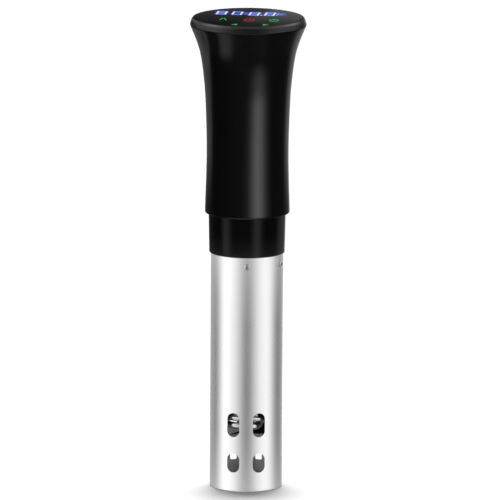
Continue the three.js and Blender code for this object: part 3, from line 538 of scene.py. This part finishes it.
def spline(points, steps):
    """Catmull-Rom curve through points, the same as the CAD model's."""
    last = len(points) - 1
    out = []
    for k in range(steps + 1):
        p = last * k / steps
        i = min(int(p), last - 1)
        t = p - i
        p0, p1, p2, p3 = (Vector(points[min(max(j, 0), last)]) for j in (i - 1, i, i + 1, i + 2))
        v0, v1 = (p2 - p0) / 2, (p3 - p1) / 2
        cubic, square = 2 * p1 - 2 * p2 + v0 + v1, -3 * p1 + 3 * p2 - 2 * v0 - v1
        at = cubic * t**3 + square * t**2 + v0 * t + p1
        out.append((at.x, at.y))
    return out


def make_handle():
    outside = spline(HANDLE, 100)
    edge = [
        (ROUND_R + ROUND * math.sin(a), ROUND_Z - ROUND * math.cos(a))
        for a in [math.radians(90 * k / 8) for k in range(8)]
    ]
    inside = [
        (r - HANDLE_WALL, z) for r, z in reversed(outside[::5]) if z > HANDLE_FLOOR + 0.5
    ]
    inside += [(29.7, HANDLE_FLOOR), (NECK_R, HANDLE_FLOOR)]
    profile = [(NECK_R, HANDLE_FOOT)] + edge + outside + inside
    return bare("handle_skin", revolve(mm(profile), TOP_SIDES))


adopt(make_handle(), "handle_shell", MAT["gloss_black"])

# ------------------------------------------------------------------ bezel
BEZEL = [
    (38.8, 353.2), (40.1, 353.2), (41.4, 356.8), (43.9, 356.8), (44.4, 357.3), (43.3, 361.0),
    (42.2, 362.6), (41.7, 362.4), (41.7, 360.7), (38.8, 360.7),
]
bezel = bare("bezel_skin", revolve(rounded(mm(BEZEL), 0.3 * MM), TOP_SIDES))
adopt(bezel, "bezel", MAT["satin_black"])

# ------------------------------------------------------------------ heater coil
TUBE_R, LEG_TOP = 2.5, 182.0
COIL_R, COIL_PITCH, COIL_TURNS, COIL_FOOT, COIL_END = 21.0, 5.9, 6.5, 49.6, -76.0
SUPPLY_R, RETURN_R, SUPPLY_TURN, RETURN_TURN = 15.8, 13.6, 46.0, 40.0


def polar(radius, bearing, height):
    """A point in metres, from millimetres and the degrees from +X."""
    return Vector((*at_angle(radius, math.radians(bearing)), height)) * MM


def heater_points():
    drop = COIL_PITCH * COIL_TURNS
    top = COIL_FOOT + drop
    start = COIL_END - 360 * COIL_TURNS
    supply, back = start - SUPPLY_TURN, COIL_END + RETURN_TURN
    steps = int(36 * COIL_TURNS)
    points = [polar(SUPPLY_R, supply, z) for z in (LEG_TOP, 150, 120)]
    points += [
        polar(SUPPLY_R, supply, top + 17),
        polar(SUPPLY_R + 0.2, supply + SUPPLY_TURN * 0.04, top + 10),
        polar((SUPPLY_R + COIL_R) / 2, supply + SUPPLY_TURN * 0.37, top + 3.6),
        polar(COIL_R - 0.4, supply + SUPPLY_TURN * 0.72, top + 0.9),
    ]
    points += [
        polar(COIL_R, start + 360 * COIL_TURNS * k / steps, top - drop * k / steps)
        for k in range(steps + 1)
    ]
    points += [
        polar(COIL_R - 1.6, COIL_END + RETURN_TURN * 0.32, COIL_FOOT - 0.4),
        polar(RETURN_R + 2.6, COIL_END + RETURN_TURN * 0.68, COIL_FOOT + 1.4),
        polar(RETURN_R + 0.2, COIL_END + RETURN_TURN * 0.98, COIL_FOOT + 7),
        polar(RETURN_R, back, COIL_FOOT + 14),
    ]
    points += [polar(RETURN_R, back, z) for z in (90, 120, 150, LEG_TOP)]
    return points


def make_heater():
    curve = bpy.data.curves.new("heater_tube", "CURVE")
    curve.dimensions = "3D"
    curve.bevel_depth = TUBE_R * MM
    curve.bevel_resolution = 6
    curve.use_fill_caps = True
    curve.resolution_u = 4
    points = heater_points()
    line = curve.splines.new("NURBS")
    line.points.add(len(points) - 1)
    for target, at in zip(line.points, points):
        target.co = (*at, 1)
    line.use_endpoint_u = True
    line.order_u = 4
    obj = bare("heater_tube", curve)
    mesh = evaluated(obj)
    bpy.data.objects.remove(obj)
    return bare("heater_tube", mesh)


adopt(make_heater(), "heater_coil", MAT["heater_steel"], angle=50)

# ------------------------------------------------------------------ propeller
HUB_FOOT, HUB_R, HUB_HEIGHT = 40.0, 5.0, 8.0
HUB_TOP = HUB_FOOT + HUB_HEIGHT
HUB = [(0, HUB_FOOT), (HUB_R, HUB_FOOT), (HUB_R, 46.6), (3.6, HUB_TOP), (0, HUB_TOP)]
BLADES, BLADE_STEPS, BLADE_START = 3, 12, 250
BLADE_ROOT, BLADE_TIP, BLADE_SWEEP, BLADE_THICK, BLADE_PITCH = HUB_R - 1.2, 17, 66, 1.7, 34


def make_blade(turn):
    bm = bmesh.new()
    rings = []
    for s in range(BLADE_STEPS + 1):
        share = s / BLADE_STEPS
        radius = BLADE_ROOT + (BLADE_TIP - BLADE_ROOT) * share
        sweep = BLADE_SWEEP * (1 - 0.28 * share**3)
        thick = BLADE_THICK * (1 - 0.35 * share)
        line = [i / BLADE_STEPS - 0.5 for i in range(BLADE_STEPS + 1)]
        upper = [(t, thick / 2 * (1 - 1.6 * t * t)) for t in line]
        lower = [(t, -thick / 2 * (1 - 1.6 * t * t)) for t in reversed(line)]
        ring = []
        for t, up in upper + lower:
            height = HUB_FOOT + HUB_HEIGHT / 2 + BLADE_PITCH * t * sweep / 360 + up
            ring.append(bm.verts.new(polar(radius, t * sweep + turn, height)))
        rings.append(ring)
    for a, b in zip(rings, rings[1:]):
        band(bm, a, b)
    bm.faces.new(rings[0][::-1])
    bm.faces.new(rings[-1])
    bmesh.ops.recalc_face_normals(bm, faces=bm.faces)
    return finished("blade", bm)


def make_propeller():
    whole = bmesh.new()
    whole.from_mesh(revolve(rounded(mm(HUB), 0.5 * MM), 64))
    for k in range(BLADES):
        whole.from_mesh(make_blade(120 * k + BLADE_START))
    return bare("propeller_skin", finished("propeller_skin", whole))


adopt(make_propeller(), "propeller", MAT["black_plastic"], "rotor", 40)

# ------------------------------------------------------------------ foot cap
CAP_LOW, CAP_HIGH, CAP_IN, CAP_OUT, CAP_HUB_R = 0.8, 4.4, 23, 26.4, 6
SPOKES, SPOKE_START, SPOKE_END, SPOKE_HALF, SPOKE_SUNK = 6, 3, 24.6, 1.6, 0.05


def make_foot_cap():
    rim = [(CAP_IN, CAP_LOW), (CAP_OUT, CAP_LOW), (CAP_OUT, CAP_HIGH), (CAP_IN, CAP_HIGH)]
    hub = [(0, CAP_LOW), (CAP_HUB_R, CAP_LOW), (CAP_HUB_R, CAP_HIGH), (0, CAP_HIGH)]
    cap = bare("foot_cap_skin", revolve(rounded(mm(rim), 0.4 * MM), 128))
    parts = [bare("hub", revolve(rounded(mm(hub), 0.5 * MM), 48))]
    low, high = (CAP_LOW + SPOKE_SUNK) * MM, (CAP_HIGH - SPOKE_SUNK) * MM
    for k in range(SPOKES):
        shape = strip(SPOKE_START, SPOKE_END, SPOKE_HALF)
        parts.append(bare("spoke", prism(shape, low, high, about_z(60 * k + 30))))
    boolean(cap, parts, "UNION")
    edge = cap.modifiers.new("edge", "BEVEL")
    edge.width = 0.25 * MM
    edge.segments = 2
    edge.limit_method = "ANGLE"
    edge.angle_limit = math.radians(50)
    apply_modifiers(cap)
    return cap


adopt(make_foot_cap(), "foot_cap", MAT["black_plastic"])

# ------------------------------------------------------------------ cord gland
GLAND_HEIGHT, GLAND_HOLE, GLAND_NECK, GLAND_R = 320, 3.6, 5, 7.2


def make_gland():
    lo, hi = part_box("cord_gland")
    root, tip = lo.y / MM, hi.y / MM
    wall = tip - 2.2 - 0.4
    shape = [
        (GLAND_HOLE, root), (GLAND_NECK, root), (GLAND_NECK, wall), (GLAND_R, wall),
        (GLAND_R, tip - 0.7), (6.5, tip), (4.4, tip), (GLAND_HOLE, tip - 0.8),
    ]
    mesh = revolve(rounded(mm(shape), 0.35 * MM), 96)
    mesh.transform(outward(180, GLAND_HEIGHT * MM))
    return bare("gland_skin", mesh)


adopt(make_gland(), "cord_gland", MAT["seal_rubber"])

# ------------------------------------------------------------------ touch panel
GLASS_R, GLASS_FOOT, GLASS_TOP = 41.4, 360.7, 362.6
MARK_SUNK, MARK_PROUD = 0.05, 0.07  # how the lit marks lie in the glass
DIGIT_TURN, KEY_TURN, POWER_TURN, ARROW_TURN = -8.2, -5, -12, -3
DIGIT_WIDTH, DIGIT_HEIGHT, STROKE, BAR_GAP = 6.5, 12.8, 1.5, 0.22
DIGITS = [
    ((-20.2, 19.2), "abcdefg"), ((-8.3, 17.7), "abcdef"), ((4.6, 14.8), "abcdefg"),
    ((16.5, 14.2), "abcdefg"),
]
LEVEL_BARS, LEVEL_STROKE, UPRIGHT_STROKE = "adg", 1.25, 0.85
COLON, UNIT, DEGREE = (-1.8, 16.2), (24.9, 13.2), (22.6, 19.2)
UP_KEY, TIMER_KEY, POWER_KEY = (-19.0, -7.6), (19.5, -13.2), (0.7, -11.6)
LEFT_ARROW, RIGHT_ARROW = (-10.4, -31.8), (12.9, -32.8)


def segment(a, b, width):
    """A flat bar with pointed ends from a to b."""
    along = (b - a).normalized()
    side = Vector((-along.y, along.x)) * width / 2
    tip = along * width / 2
    return [a, a + tip - side, b - tip - side, b, b - tip + side, a + tip + side]


def digit_bars(letters):
    w, h = DIGIT_WIDTH / 2, DIGIT_HEIGHT / 2
    ends = {
        "a": ((-w, h), (w, h)), "g": ((-w, 0), (w, 0)), "d": ((-w, -h), (w, -h)),
        "b": ((w, 0), (w, h)), "c": ((w, -h), (w, 0)),
        "e": ((-w, -h), (-w, 0)), "f": ((-w, 0), (-w, h)),
    }
    bars = []
    for letter in letters:
        a, b = (Vector(p) for p in ends[letter])
        gap = (b - a).normalized() * BAR_GAP
        width = STROKE * (LEVEL_STROKE if letter in LEVEL_BARS else UPRIGHT_STROKE)
        bars.append((letter, segment(a + gap, b - gap, width)))
    return bars


def placed(points, place, turn):
    spin = Matrix.Rotation(math.radians(turn), 2)
    return [spin @ Vector(p) + Vector(place) for p in points]


def ring_bar(radius, width, start, end, steps=28, stretch=1.0):
    """Part of a ring between two angles, stretched upwards if given."""
    angles = [math.radians(start + (end - start) * k / steps) for k in range(steps + 1)]
    points = [at_angle(radius + width / 2, a) for a in angles]
    points += [at_angle(radius - width / 2, a) for a in reversed(angles)]
    return [(x, y * stretch) for x, y in points]


def disc(radius, up=0, steps=20):
    turns = [at_angle(radius, 2 * math.pi * k / steps) for k in range(steps)]
    return [(x, up + y) for x, y in turns]


def straight_bar(a, b, width):
    a, b = Vector(a), Vector(b)
    side = Vector((a.y - b.y, b.x - a.x)).normalized() * width / 2
    return [a - side, b - side, b + side, a + side]


def display_marks():
    """The uprights and the level bars of the digits and signs, which differ in colour."""
    upright, level = [], []
    for place, letters in DIGITS:
        for letter, points in digit_bars(letters):
            kind = level if letter in LEVEL_BARS else upright
            kind.append(placed(points, place, DIGIT_TURN))
    for up in (2.4, -2.4):
        level.append(placed(disc(0.8, up), COLON, DIGIT_TURN))
    upright.append(placed(disc(0.8), (9.9, 8.6), DIGIT_TURN))
    upright.append(placed(disc(0.6), (21.6, 9.8), DIGIT_TURN))
    level.append(placed(ring_bar(2.5, 1.2, 50, 310), UNIT, DIGIT_TURN))
    level.append(placed(ring_bar(0.8, 0.5, 0, 350), DEGREE, DIGIT_TURN))
    return upright, level


KEY_MARKS = [
    placed(straight_bar((-2.4, -4.6), (-0.55, 3.4), 0.95), UP_KEY, KEY_TURN),
    placed(straight_bar((2.4, -4.6), (0.55, 3.4), 0.95), UP_KEY, KEY_TURN),
    placed(ring_bar(3.25, 0.8, 0, 358, 40, 1.35), TIMER_KEY, KEY_TURN),
    placed(straight_bar((0, -0.2), (0, 3.4), 0.9), TIMER_KEY, KEY_TURN),
    placed([(-2.7, 0), (1.9, -3.0), (1.9, 3.0)], LEFT_ARROW, ARROW_TURN),
    placed([(2.7, 0), (-1.9, 3.0), (-1.9, -3.0)], RIGHT_ARROW, ARROW_TURN),
]
POWER_MARK = [
    placed(ring_bar(3.7, 0.75, 122, 418, 48, 1.5), POWER_KEY, POWER_TURN),
    placed(straight_bar((-0.2, 0.6), (0.2, 6.2), 0.85), POWER_KEY, POWER_TURN),
]


def lit_piece(name, shapes, material):
    bm = bmesh.new()
    low, high = (GLASS_TOP - MARK_SUNK) * MM, (GLASS_TOP + MARK_PROUD) * MM
    for points in shapes:
        bm.from_mesh(prism(mm(points), low, high, Matrix()))
    piece = bare(name, finished(name, bm))
    piece.data.materials.append(material)
    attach(piece, "body")


def lit(name, colour, dimmer=0.82):
    """Light seen through printed glass: even, a little dimmer in places."""
    constants = {
        "Base Color": grey(0.004),
        "Roughness": 0.3,
        "Specular IOR Level": 0.12,
        "Emission Strength": 1.0,
    }
    material, n, shader = new_material(name, constants)
    patch = n.range(n.noise(n.place(), 900), 0.35, 0.65, 0, 1)
    n.put(shader["Emission Color"], n.mix(patch, shade(colour, dimmer), rgb(*colour)))
    return material


upright, level = display_marks()
lit_piece("digit_uprights", upright, lit("digit_white", (1.0, 0.97, 1.0)))
lit_piece("digit_levels", level, lit("digit_blue", (0.20, 0.31, 0.92)))
lit_piece("key_marks", KEY_MARKS, lit("key_green", (0.0, 0.52, 0.08)))
lit_piece("power_mark", POWER_MARK, lit("key_red", (0.50, 0.025, 0.03)))

# Places that glow through the glass, each with its half width, half height and level.
GLOW_WIDE, GLOW_HIGH, GLOW_REACH = DIGIT_WIDTH / 2 + 0.5, DIGIT_HEIGHT / 2 + 0.7, 0.9
GLOWS = [(at, GLOW_WIDE, GLOW_HIGH, 1.0 if "g" in letters else 0.5) for at, letters in DIGITS]
GLOWS += [(COLON, 1.6, 4.0, 0.5), (UNIT, 2.8, 3.0, 0.5)]
DISPLAY_HALF, DISPLAY_TOP = 32, 36
GLOW_COLOURS = [(0.0, 0.0), (0.5, rgb(0.018, 0.06, 0.44)), (1.0, rgb(0.065, 0.12, 0.52))]


def glow_at(x, y):
    """How strongly the glass glows at a point given in millimetres."""
    turn = Matrix.Rotation(math.radians(-DIGIT_TURN), 2)
    best = 0.0
    for place, wide, high, strength in GLOWS:
        at = turn @ (Vector((x, y)) - Vector(place))
        far = math.hypot(max(abs(at.x) - wide, 0), max(abs(at.y) - high, 0))
        best = max(best, strength * math.exp(-((far / GLOW_REACH) ** 2)))
    return best


def panel_glass():
    material, n, shader = new_material("panel_glass", {"Emission Strength": 1.0})
    at = n.place()
    glow = n.add("ShaderNodeAttribute", attribute_name="glow").outputs["Fac"]
    smear = n.noise(at, 60, 4, 0.6, (1, 0.35, 1))
    dust = n.ramp(n.noise(at, 2800, 1), [(0.75, 0.0), (0.81, 1.0)])
    n.put(shader["Base Color"], n.mix(dust, rgb(0.002, 0.002, 0.0021), grey(0.012)))
    n.put(shader["Roughness"], n.spread(smear, 0.04, 0.075))
    n.put(shader["Emission Color"], n.ramp(glow, GLOW_COLOURS))
    n.put(shader["Normal"], n.bump(n.noise(at, 120), 0.03, 0.00003))
    return material


def make_glass():
    """The glass with many rings on top, whose points carry the glow of the digits."""
    edge, step, rings = 0.25, 0.7, 59
    profile = [(0, GLASS_FOOT), (GLASS_R, GLASS_FOOT), (GLASS_R, GLASS_TOP - edge)]
    profile += [(GLASS_R - 0.08, GLASS_TOP - 0.07)]
    profile += [(GLASS_R - edge - step * k, GLASS_TOP) for k in range(rings)] + [(0, GLASS_TOP)]
    glass = bare("glass_plate", revolve(mm(profile), TOP_SIDES, closed=False))
    glow = glass.data.attributes.new("glow", "FLOAT", "POINT")
    for i, v in enumerate(glass.data.vertices):
        x, y = v.co.x / MM, v.co.y / MM
        on_top = v.co.z / MM > GLASS_TOP - 0.01
        if on_top and abs(x) < DISPLAY_HALF and 0 < y < DISPLAY_TOP:
            glow.data[i].value = glow_at(x, y)
    return glass


adopt(make_glass(), "touch_glass", panel_glass())

# ------------------------------------------------------------------ the other CAD nodes
for name, obj in nodes.items():
    if name not in replaced:
        obj.data.materials.clear()
        obj.data.materials.append(MAT[SLOT_OF[name]])


# ------------------------------------------------------------------ floor
FLOOR_SIZE, FLOOR_GREY = 30.0, 0.36


def add_floor():
    """A matt floor, drawn only from above. It casts no shadow and shows in no reflection."""
    bm = bmesh.new()
    bmesh.ops.create_grid(bm, x_segments=8, y_segments=8, size=FLOOR_SIZE / 2)
    constants = {"Base Color": grey(FLOOR_GREY), "Roughness": 0.9, "Specular IOR Level": 0.0}
    material, n, shader = new_material("floor_paint", constants)
    output = n.tree.nodes["Material Output"].inputs["Surface"]
    from_below = n.add("ShaderNodeNewGeometry").outputs["Backfacing"]
    clear = n.add("ShaderNodeBsdfTransparent").outputs[0]
    paint = output.links[0].from_socket
    n.put(output, n.add("ShaderNodeMixShader", {0: from_below, 1: paint, 2: clear}).outputs[0])
    floor = bare("floor", finished("floor", bm))
    floor.data.materials.append(material)
    floor.location.z = FOOT
    floor.visible_glossy = False
    floor.visible_shadow = False
    return floor


floor = add_floor()

# ------------------------------------------------------------------ surroundings
# Brightness by degrees from the front, positive to the right. Only reflections see these bands:
# the camera sees white, and everything else is lit by the plain level.
PLAIN_LEVEL = 0.62
UNDERNEATH, OVERHEAD = 0.9, 0.45
BELOW = [
    (-180, 0.10), (-98, 0.05), (-86, 0.04), (-79, 0.26), (-73, 0.50), (-64, 0.54), (-56, 0.50),
    (-50, 0.40), (-43, 0.20), (-37, 0.10), (-28, 0.08), (-14, 0.07), (14, 0.08), (34, 0.11),
    (44, 0.12), (52, 0.08), (70, 0.05), (110, 0.06), (180, 0.2),
]
AROUND = [
    (-180, 0.14), (-170, 0.13), (-160, 0.09), (-150, 0.06), (-140, 0.05), (-120, 0.04),
    (-100, 0.02), (-80, 0.025), (-40, 0.06), (-10, 0.09), (20, 0.07), (60, 0.05), (100, 0.04),
    (116, 0.05), (124, 0.08), (134, 0.09), (144, 0.12), (150, 0.18), (158, 0.36), (170, 0.50),
    (180, 0.4),
]
LOW = [
    (-180, 0.135), (-173, 0.135), (-160, 0.25), (-130, 0.55), (-100, 0.52), (-70, 0.62),
    (-44, 0.32), (-26, 0.13), (0, 0.09), (22, 0.10), (36, 0.26), (70, 0.48), (100, 0.42),
    (116, 0.32), (130, 0.22), (160, 0.15), (173, 0.135), (180, 0.135),
]
HIGH = [
    (-180, 0.2), (-150, 0.15), (-130, 0.28), (-115, 0.85), (-95, 1.9), (-72, 1.0), (-52, 0.7),
    (-38, 0.3), (-20, 0.15), (0, 0.13), (22, 0.13), (36, 0.2), (52, 0.48), (72, 0.65),
    (95, 0.9), (116, 1.45), (135, 1.35), (150, 0.95), (160, 0.4), (180, 0.2),
]
# Between these sines of the elevation, one band passes into the next above it.
BELOW_FROM, AROUND_FROM, LOW_FROM = (-0.97, -0.88), (-0.66, -0.48), (0.03, 0.13)
HIGH_FROM, OVERHEAD_FROM = (0.32, 0.50), (0.74, 0.90)


def add_world():
    world = bpy.data.worlds.new("studio")
    scene.world = world
    n = empty_tree(world)
    way = n.add("ShaderNodeTexCoord").outputs["Generated"]
    x, y, z = n.add("ShaderNodeSeparateXYZ", {0: way}).outputs
    bearing = n.math("ARCTAN2", x, n.math("MULTIPLY", y, -1.0))
    turn = n.math("ADD", n.math("DIVIDE", bearing, 2 * math.pi), 0.5)

    def by_bearing(stops):
        return n.ramp(turn, [((a + 180) / 360, level) for a, level in stops])

    reflected = grey(UNDERNEATH)
    for limits, band_level in (
        (BELOW_FROM, by_bearing(BELOW)), (AROUND_FROM, by_bearing(AROUND)),
        (LOW_FROM, by_bearing(LOW)), (HIGH_FROM, by_bearing(HIGH)),
        (OVERHEAD_FROM, grey(OVERHEAD)),
    ):
        reflected = n.mix(n.range(z, *limits, 0, 1), reflected, band_level)
    path = n.add("ShaderNodeLightPath").outputs
    seen = n.math("MAXIMUM", path["Is Camera Ray"], path["Is Transmission Ray"])
    level = n.mix(path["Is Glossy Ray"], grey(PLAIN_LEVEL), reflected)
    background = n.add("ShaderNodeBackground", {"Color": n.mix(seen, level, grey(1))})
    n.put(n.add("ShaderNodeOutputWorld").inputs["Surface"], background.outputs[0])


add_world()

CARD_BACK, CARD_HALF, CARD_LOW, CARD_HIGH = 0.25, 0.09, 0.385, 0.44  # in metres
GLASS_VIEW = 10.6  # degrees above the glass
CARD_SLANT, CARD_SHIFT, CARD_BLUR = 0.46, -5.1, 2.5
# Brightness right of the edge: per millimetre across and deep, at the middle, and at least.
RIGHT_ACROSS, RIGHT_DEEP, RIGHT_MIDDLE, RIGHT_LEAST = 0.0016, 0.0032, 0.075, 0.03
LEFT_DEEP, LEFT_MIDDLE, LEFT_LEAST = 0.0011, 0.033, 0.012


def add_card():
    """A near card behind the top, seen only in the glass, darker left of a slanting edge."""
    bm = bmesh.new()
    corners = [(-CARD_HALF, CARD_LOW), (CARD_HALF, CARD_LOW)]
    corners += [(CARD_HALF, CARD_HIGH), (-CARD_HALF, CARD_HIGH)]
    bm.faces.new([bm.verts.new((x, CARD_BACK, z)) for x, z in corners])
    material = bpy.data.materials.new("card_paint")
    n = empty_tree(material)
    x, _, z = n.add("ShaderNodeSeparateXYZ", {0: n.place()}).outputs
    # the point of the glass, in millimetres, in which this point of the card is seen
    across = n.math("MULTIPLY", x, 1000)
    steepness = 1000 / math.tan(math.radians(GLASS_VIEW))
    rise = n.math("MULTIPLY", n.math("SUBTRACT", z, GLASS_TOP * MM), steepness)
    deep = n.math("SUBTRACT", CARD_BACK * 1000, rise)

    def scaled(value, factor):
        return n.math("MULTIPLY", value, factor)

    slant = n.math("ADD", scaled(deep, CARD_SLANT), CARD_SHIFT)
    edge = n.range(n.math("SUBTRACT", across, slant), -CARD_BLUR, CARD_BLUR, 0, 1)
    right = n.math("ADD", scaled(across, RIGHT_ACROSS), scaled(deep, RIGHT_DEEP))
    right = n.math("MAXIMUM", n.math("ADD", right, RIGHT_MIDDLE), RIGHT_LEAST)
    left = n.math("MAXIMUM", n.math("ADD", scaled(deep, LEFT_DEEP), LEFT_MIDDLE), LEFT_LEAST)
    n.emit("ShaderNodeOutputMaterial", n.mix(edge, left, right), 1.0)
    card = bare("card", finished("card", bm))
    card.data.materials.append(material)
    card.visible_camera = card.visible_diffuse = False
    card.visible_shadow = card.visible_transmission = False


add_card()

# ------------------------------------------------------------------ lamps
STEEL_LEFT = [
    (-122, 0.0), (-120, 0.20), (-110, 0.28), (-100, 0.46), (-90, 0.80), (-80, 1.20), (-70, 1.36),
    (-60, 1.22), (-50, 1.06), (-40, 0.92), (-30, 0.78), (-20, 0.55), (-10, 0.26), (0, 0.12),
]
STEEL_RIGHT = [
    (0, 0.12), (10, 0.22), (20, 0.46), (30, 0.72), (40, 0.91), (50, 1.04), (60, 1.09),
    (70, 1.14), (80, 0.98), (90, 0.64), (100, 0.38), (110, 0.22), (120, 0.15), (122, 0.09),
]
STEEL_BACK = [
    (-238, 0.19), (-225, 0.24), (-210, 0.22), (-202, 0.36), (-190, 0.40), (-180, 0.30),
    (-165, 0.36), (-150, 0.36), (-135, 0.34), (-122, 0.30),
]
HIGHLIGHT = [
    (-15, 0.0), (-10, 0.03), (0, 0.18), (10, 0.75), (20, 1.75), (29, 2.2), (40, 1.5),
    (50, 0.55), (60, 0.16), (70, 0.0),
]
EDGE_LEFT = [
    (-173, 0.08), (-165, 0.10), (-153, 0.10), (-143, 0.16), (-133, 0.20), (-123, 0.24),
    (-116, 0.20), (-110, 0.0),
]
EDGE_RIGHT = [
    (115, 0.0), (119, 0.05), (122, 0.11), (126, 0.20), (130, 0.26), (137, 0.26), (143, 0.20),
    (151, 0.0),
]
FLARE_LEFT = [
    (-132, 0.0), (-125, 0.12), (-120, 0.20), (-116, 0.27), (-113, 0.30), (-111, 0.12),
    (-109, 0.0),
]
COLLAR_LEFT = [
    (-90, 0.0), (-83, 0.08), (-76, 0.42), (-70, 0.72), (-66, 0.78), (-61, 0.70), (-54, 0.34),
    (-46, 0.06), (-38, 0.0),
]
COLLAR_RIGHT = [
    (4, 0.0), (11, 0.06), (19, 0.42), (26, 0.84), (30, 0.88), (35, 0.80), (43, 0.38),
    (50, 0.08), (58, 0.0),
]
COLLAR_EDGE = [
    (94, 0.0), (100, 0.08), (106, 0.20), (113, 0.28), (120, 0.24), (128, 0.22), (138, 0.16),
    (150, 0.09), (156, 0.25), (164, 0.8), (176, 1.3), (190, 0.3), (196, 0.0),
]
# Brightness from a lamp's foot to its top.
EDGE_FADE = [(0.15, 0.0), (0.20, 0.12), (0.243, 0.45), (0.27, 0.75), (0.30, 1.0)]
FLARE_FADE = [(0.0, 1.0), (0.85, 1.0), (0.95, 0.4), (1.0, 0.0)]
MAIN_FADE = [(0.0, 0.0), (0.1, 0.12), (0.23, 0.45), (0.33, 1.0)]
SOFT = [(0.0, 0.0), (0.4, 1.0), (0.6, 1.0), (1.0, 0.0)]
WIDEST = 80  # degrees off a lamp's middle

NOT_STEEL = {
    "handle_skin", "collar_skin", "bezel_skin", "glass_plate", "digit_uprights", "digit_levels",
    "key_marks", "power_mark",
}
meshes = [o for o in scene.objects if o.type == "MESH" and o.name not in ("floor", "card")]


def group_of(name, members):
    collection = bpy.data.collections.new(name)
    for obj in members:
        collection.objects.link(obj)
    return collection


def named(*names):
    return [o for o in meshes if o.name in names]


handle_only = group_of("lit_black", named("handle_skin"))
collar_only = group_of("lit_collar", named("collar_skin"))
steel = group_of("lit_steel", [o for o in meshes if o.name not in NOT_STEEL])


def panel_light(name, width, height, receivers, location, away):
    """A rectangular lamp at a place, its back away, and where on it a point is, from 0 to 1."""
    data = bpy.data.lights.new(name, "AREA")
    data.shape = "RECTANGLE"
    data.size, data.size_y = width, height
    data.energy = math.pi * width * height
    n = empty_tree(data)
    place = n.add("ShaderNodeNewGeometry").outputs["Parametric"]
    across, up, _ = n.add("ShaderNodeSeparateXYZ", {0: place}).outputs
    obj = bare(name, data)
    obj.location = location
    obj.rotation_euler = away.to_track_quat("Z", "Y").to_euler()
    obj.light_linking.receiver_collection = receivers
    obj.visible_camera = obj.visible_diffuse = obj.visible_transmission = False
    return n, across, up


def lamp(name, azimuth, distance, width, height, middle, stops, receivers, fade=None):
    """A tall soft panel at an azimuth from the front, with its brightness given by azimuth."""
    away = look(azimuth, 0)
    place = away * distance + Vector((0, 0, middle))
    n, across, up = panel_light(name, width, height, receivers, place, away)
    profile = []
    for a, level in stops:
        off = math.tan(math.radians(max(-WIDEST, min(WIDEST, a - azimuth)))) * distance
        profile.append((min(1, max(0, 0.5 + off / width)), level))
    strength = n.ramp(across, sorted(profile))
    if fade:
        strength = n.math("MULTIPLY", strength, n.ramp(up, fade))
    n.emit("ShaderNodeOutputLight", grey(1), strength)


RIM_PLACE, RIM_EDGE = Vector((0.02, -0.13, 0.06)), Vector((0, -0.0315, 0.2125))
RIM_SIZE, RIM_LEVEL = (0.30, 0.09), 1.3


def add_rim_lamp():
    """A small panel near the front, low down, that the rounded edge under the handle reflects."""
    away = RIM_PLACE - RIM_EDGE
    n, across, up = panel_light("rim", *RIM_SIZE, handle_only, RIM_PLACE, away)
    strength = n.math("MULTIPLY", n.ramp(across, SOFT), n.ramp(up, SOFT))
    n.emit("ShaderNodeOutputLight", grey(1), n.math("MULTIPLY", strength, RIM_LEVEL))


SUN_LEVEL, SUN_SIZE, SUN_UP = 7.2, 13, 81.5  # size and elevation in degrees, from behind


def add_sun():
    """A wide sun for the floor alone, that gives the contact shadow."""
    data = bpy.data.lights.new("overhead", "SUN")
    data.energy = SUN_LEVEL
    data.angle = math.radians(SUN_SIZE)
    sun = bare("overhead", data)
    sun.rotation_euler = look(180, SUN_UP).to_track_quat("Z", "Y").to_euler()
    shades = named("sleeve_skin", "foot_cap_skin", "bulkhead")
    sun.light_linking.receiver_collection = group_of("lit_floor", [floor])
    sun.light_linking.blocker_collection = group_of("shades_floor", shades)


add_sun()
add_rim_lamp()
# Azimuth in degrees, then distance, width, height and the height of its middle in metres.
FAR, NEAR = 1.5, 0.25
lamp("panel_left", -61, FAR, 5.5, 3.0, 0.0, STEEL_LEFT, steel)
lamp("panel_right", 61, FAR, 5.5, 3.0, 0.0, STEEL_RIGHT, steel)
lamp("panel_back", -180, FAR, 4.8, 3.0, 0.0, STEEL_BACK, steel)
lamp("strip_main", 29, FAR, 3.0, 1.6, 0.2, HIGHLIGHT, handle_only, MAIN_FADE)
lamp("edge_left", -150, NEAR, 0.44, 0.4, 0.3, EDGE_LEFT, handle_only, EDGE_FADE)
lamp("edge_flare", -118, FAR, 0.8, 0.8, -0.5, FLARE_LEFT, handle_only, FLARE_FADE)
lamp("edge_right", 138, NEAR, 0.36, 0.4, 0.3, EDGE_RIGHT, handle_only, EDGE_FADE)
lamp("edge_collar", 148, FAR, 4.4, 2.4, -0.3, COLLAR_EDGE, collar_only)
lamp("strip_collar_left", -66, FAR, 2.6, 1.6, 0.2, COLLAR_LEFT, collar_only)
lamp("strip_collar_right", 30, FAR, 2.6, 1.6, 0.2, COLLAR_RIGHT, collar_only)

# ------------------------------------------------------------------ end
bpy.context.view_layer.update()
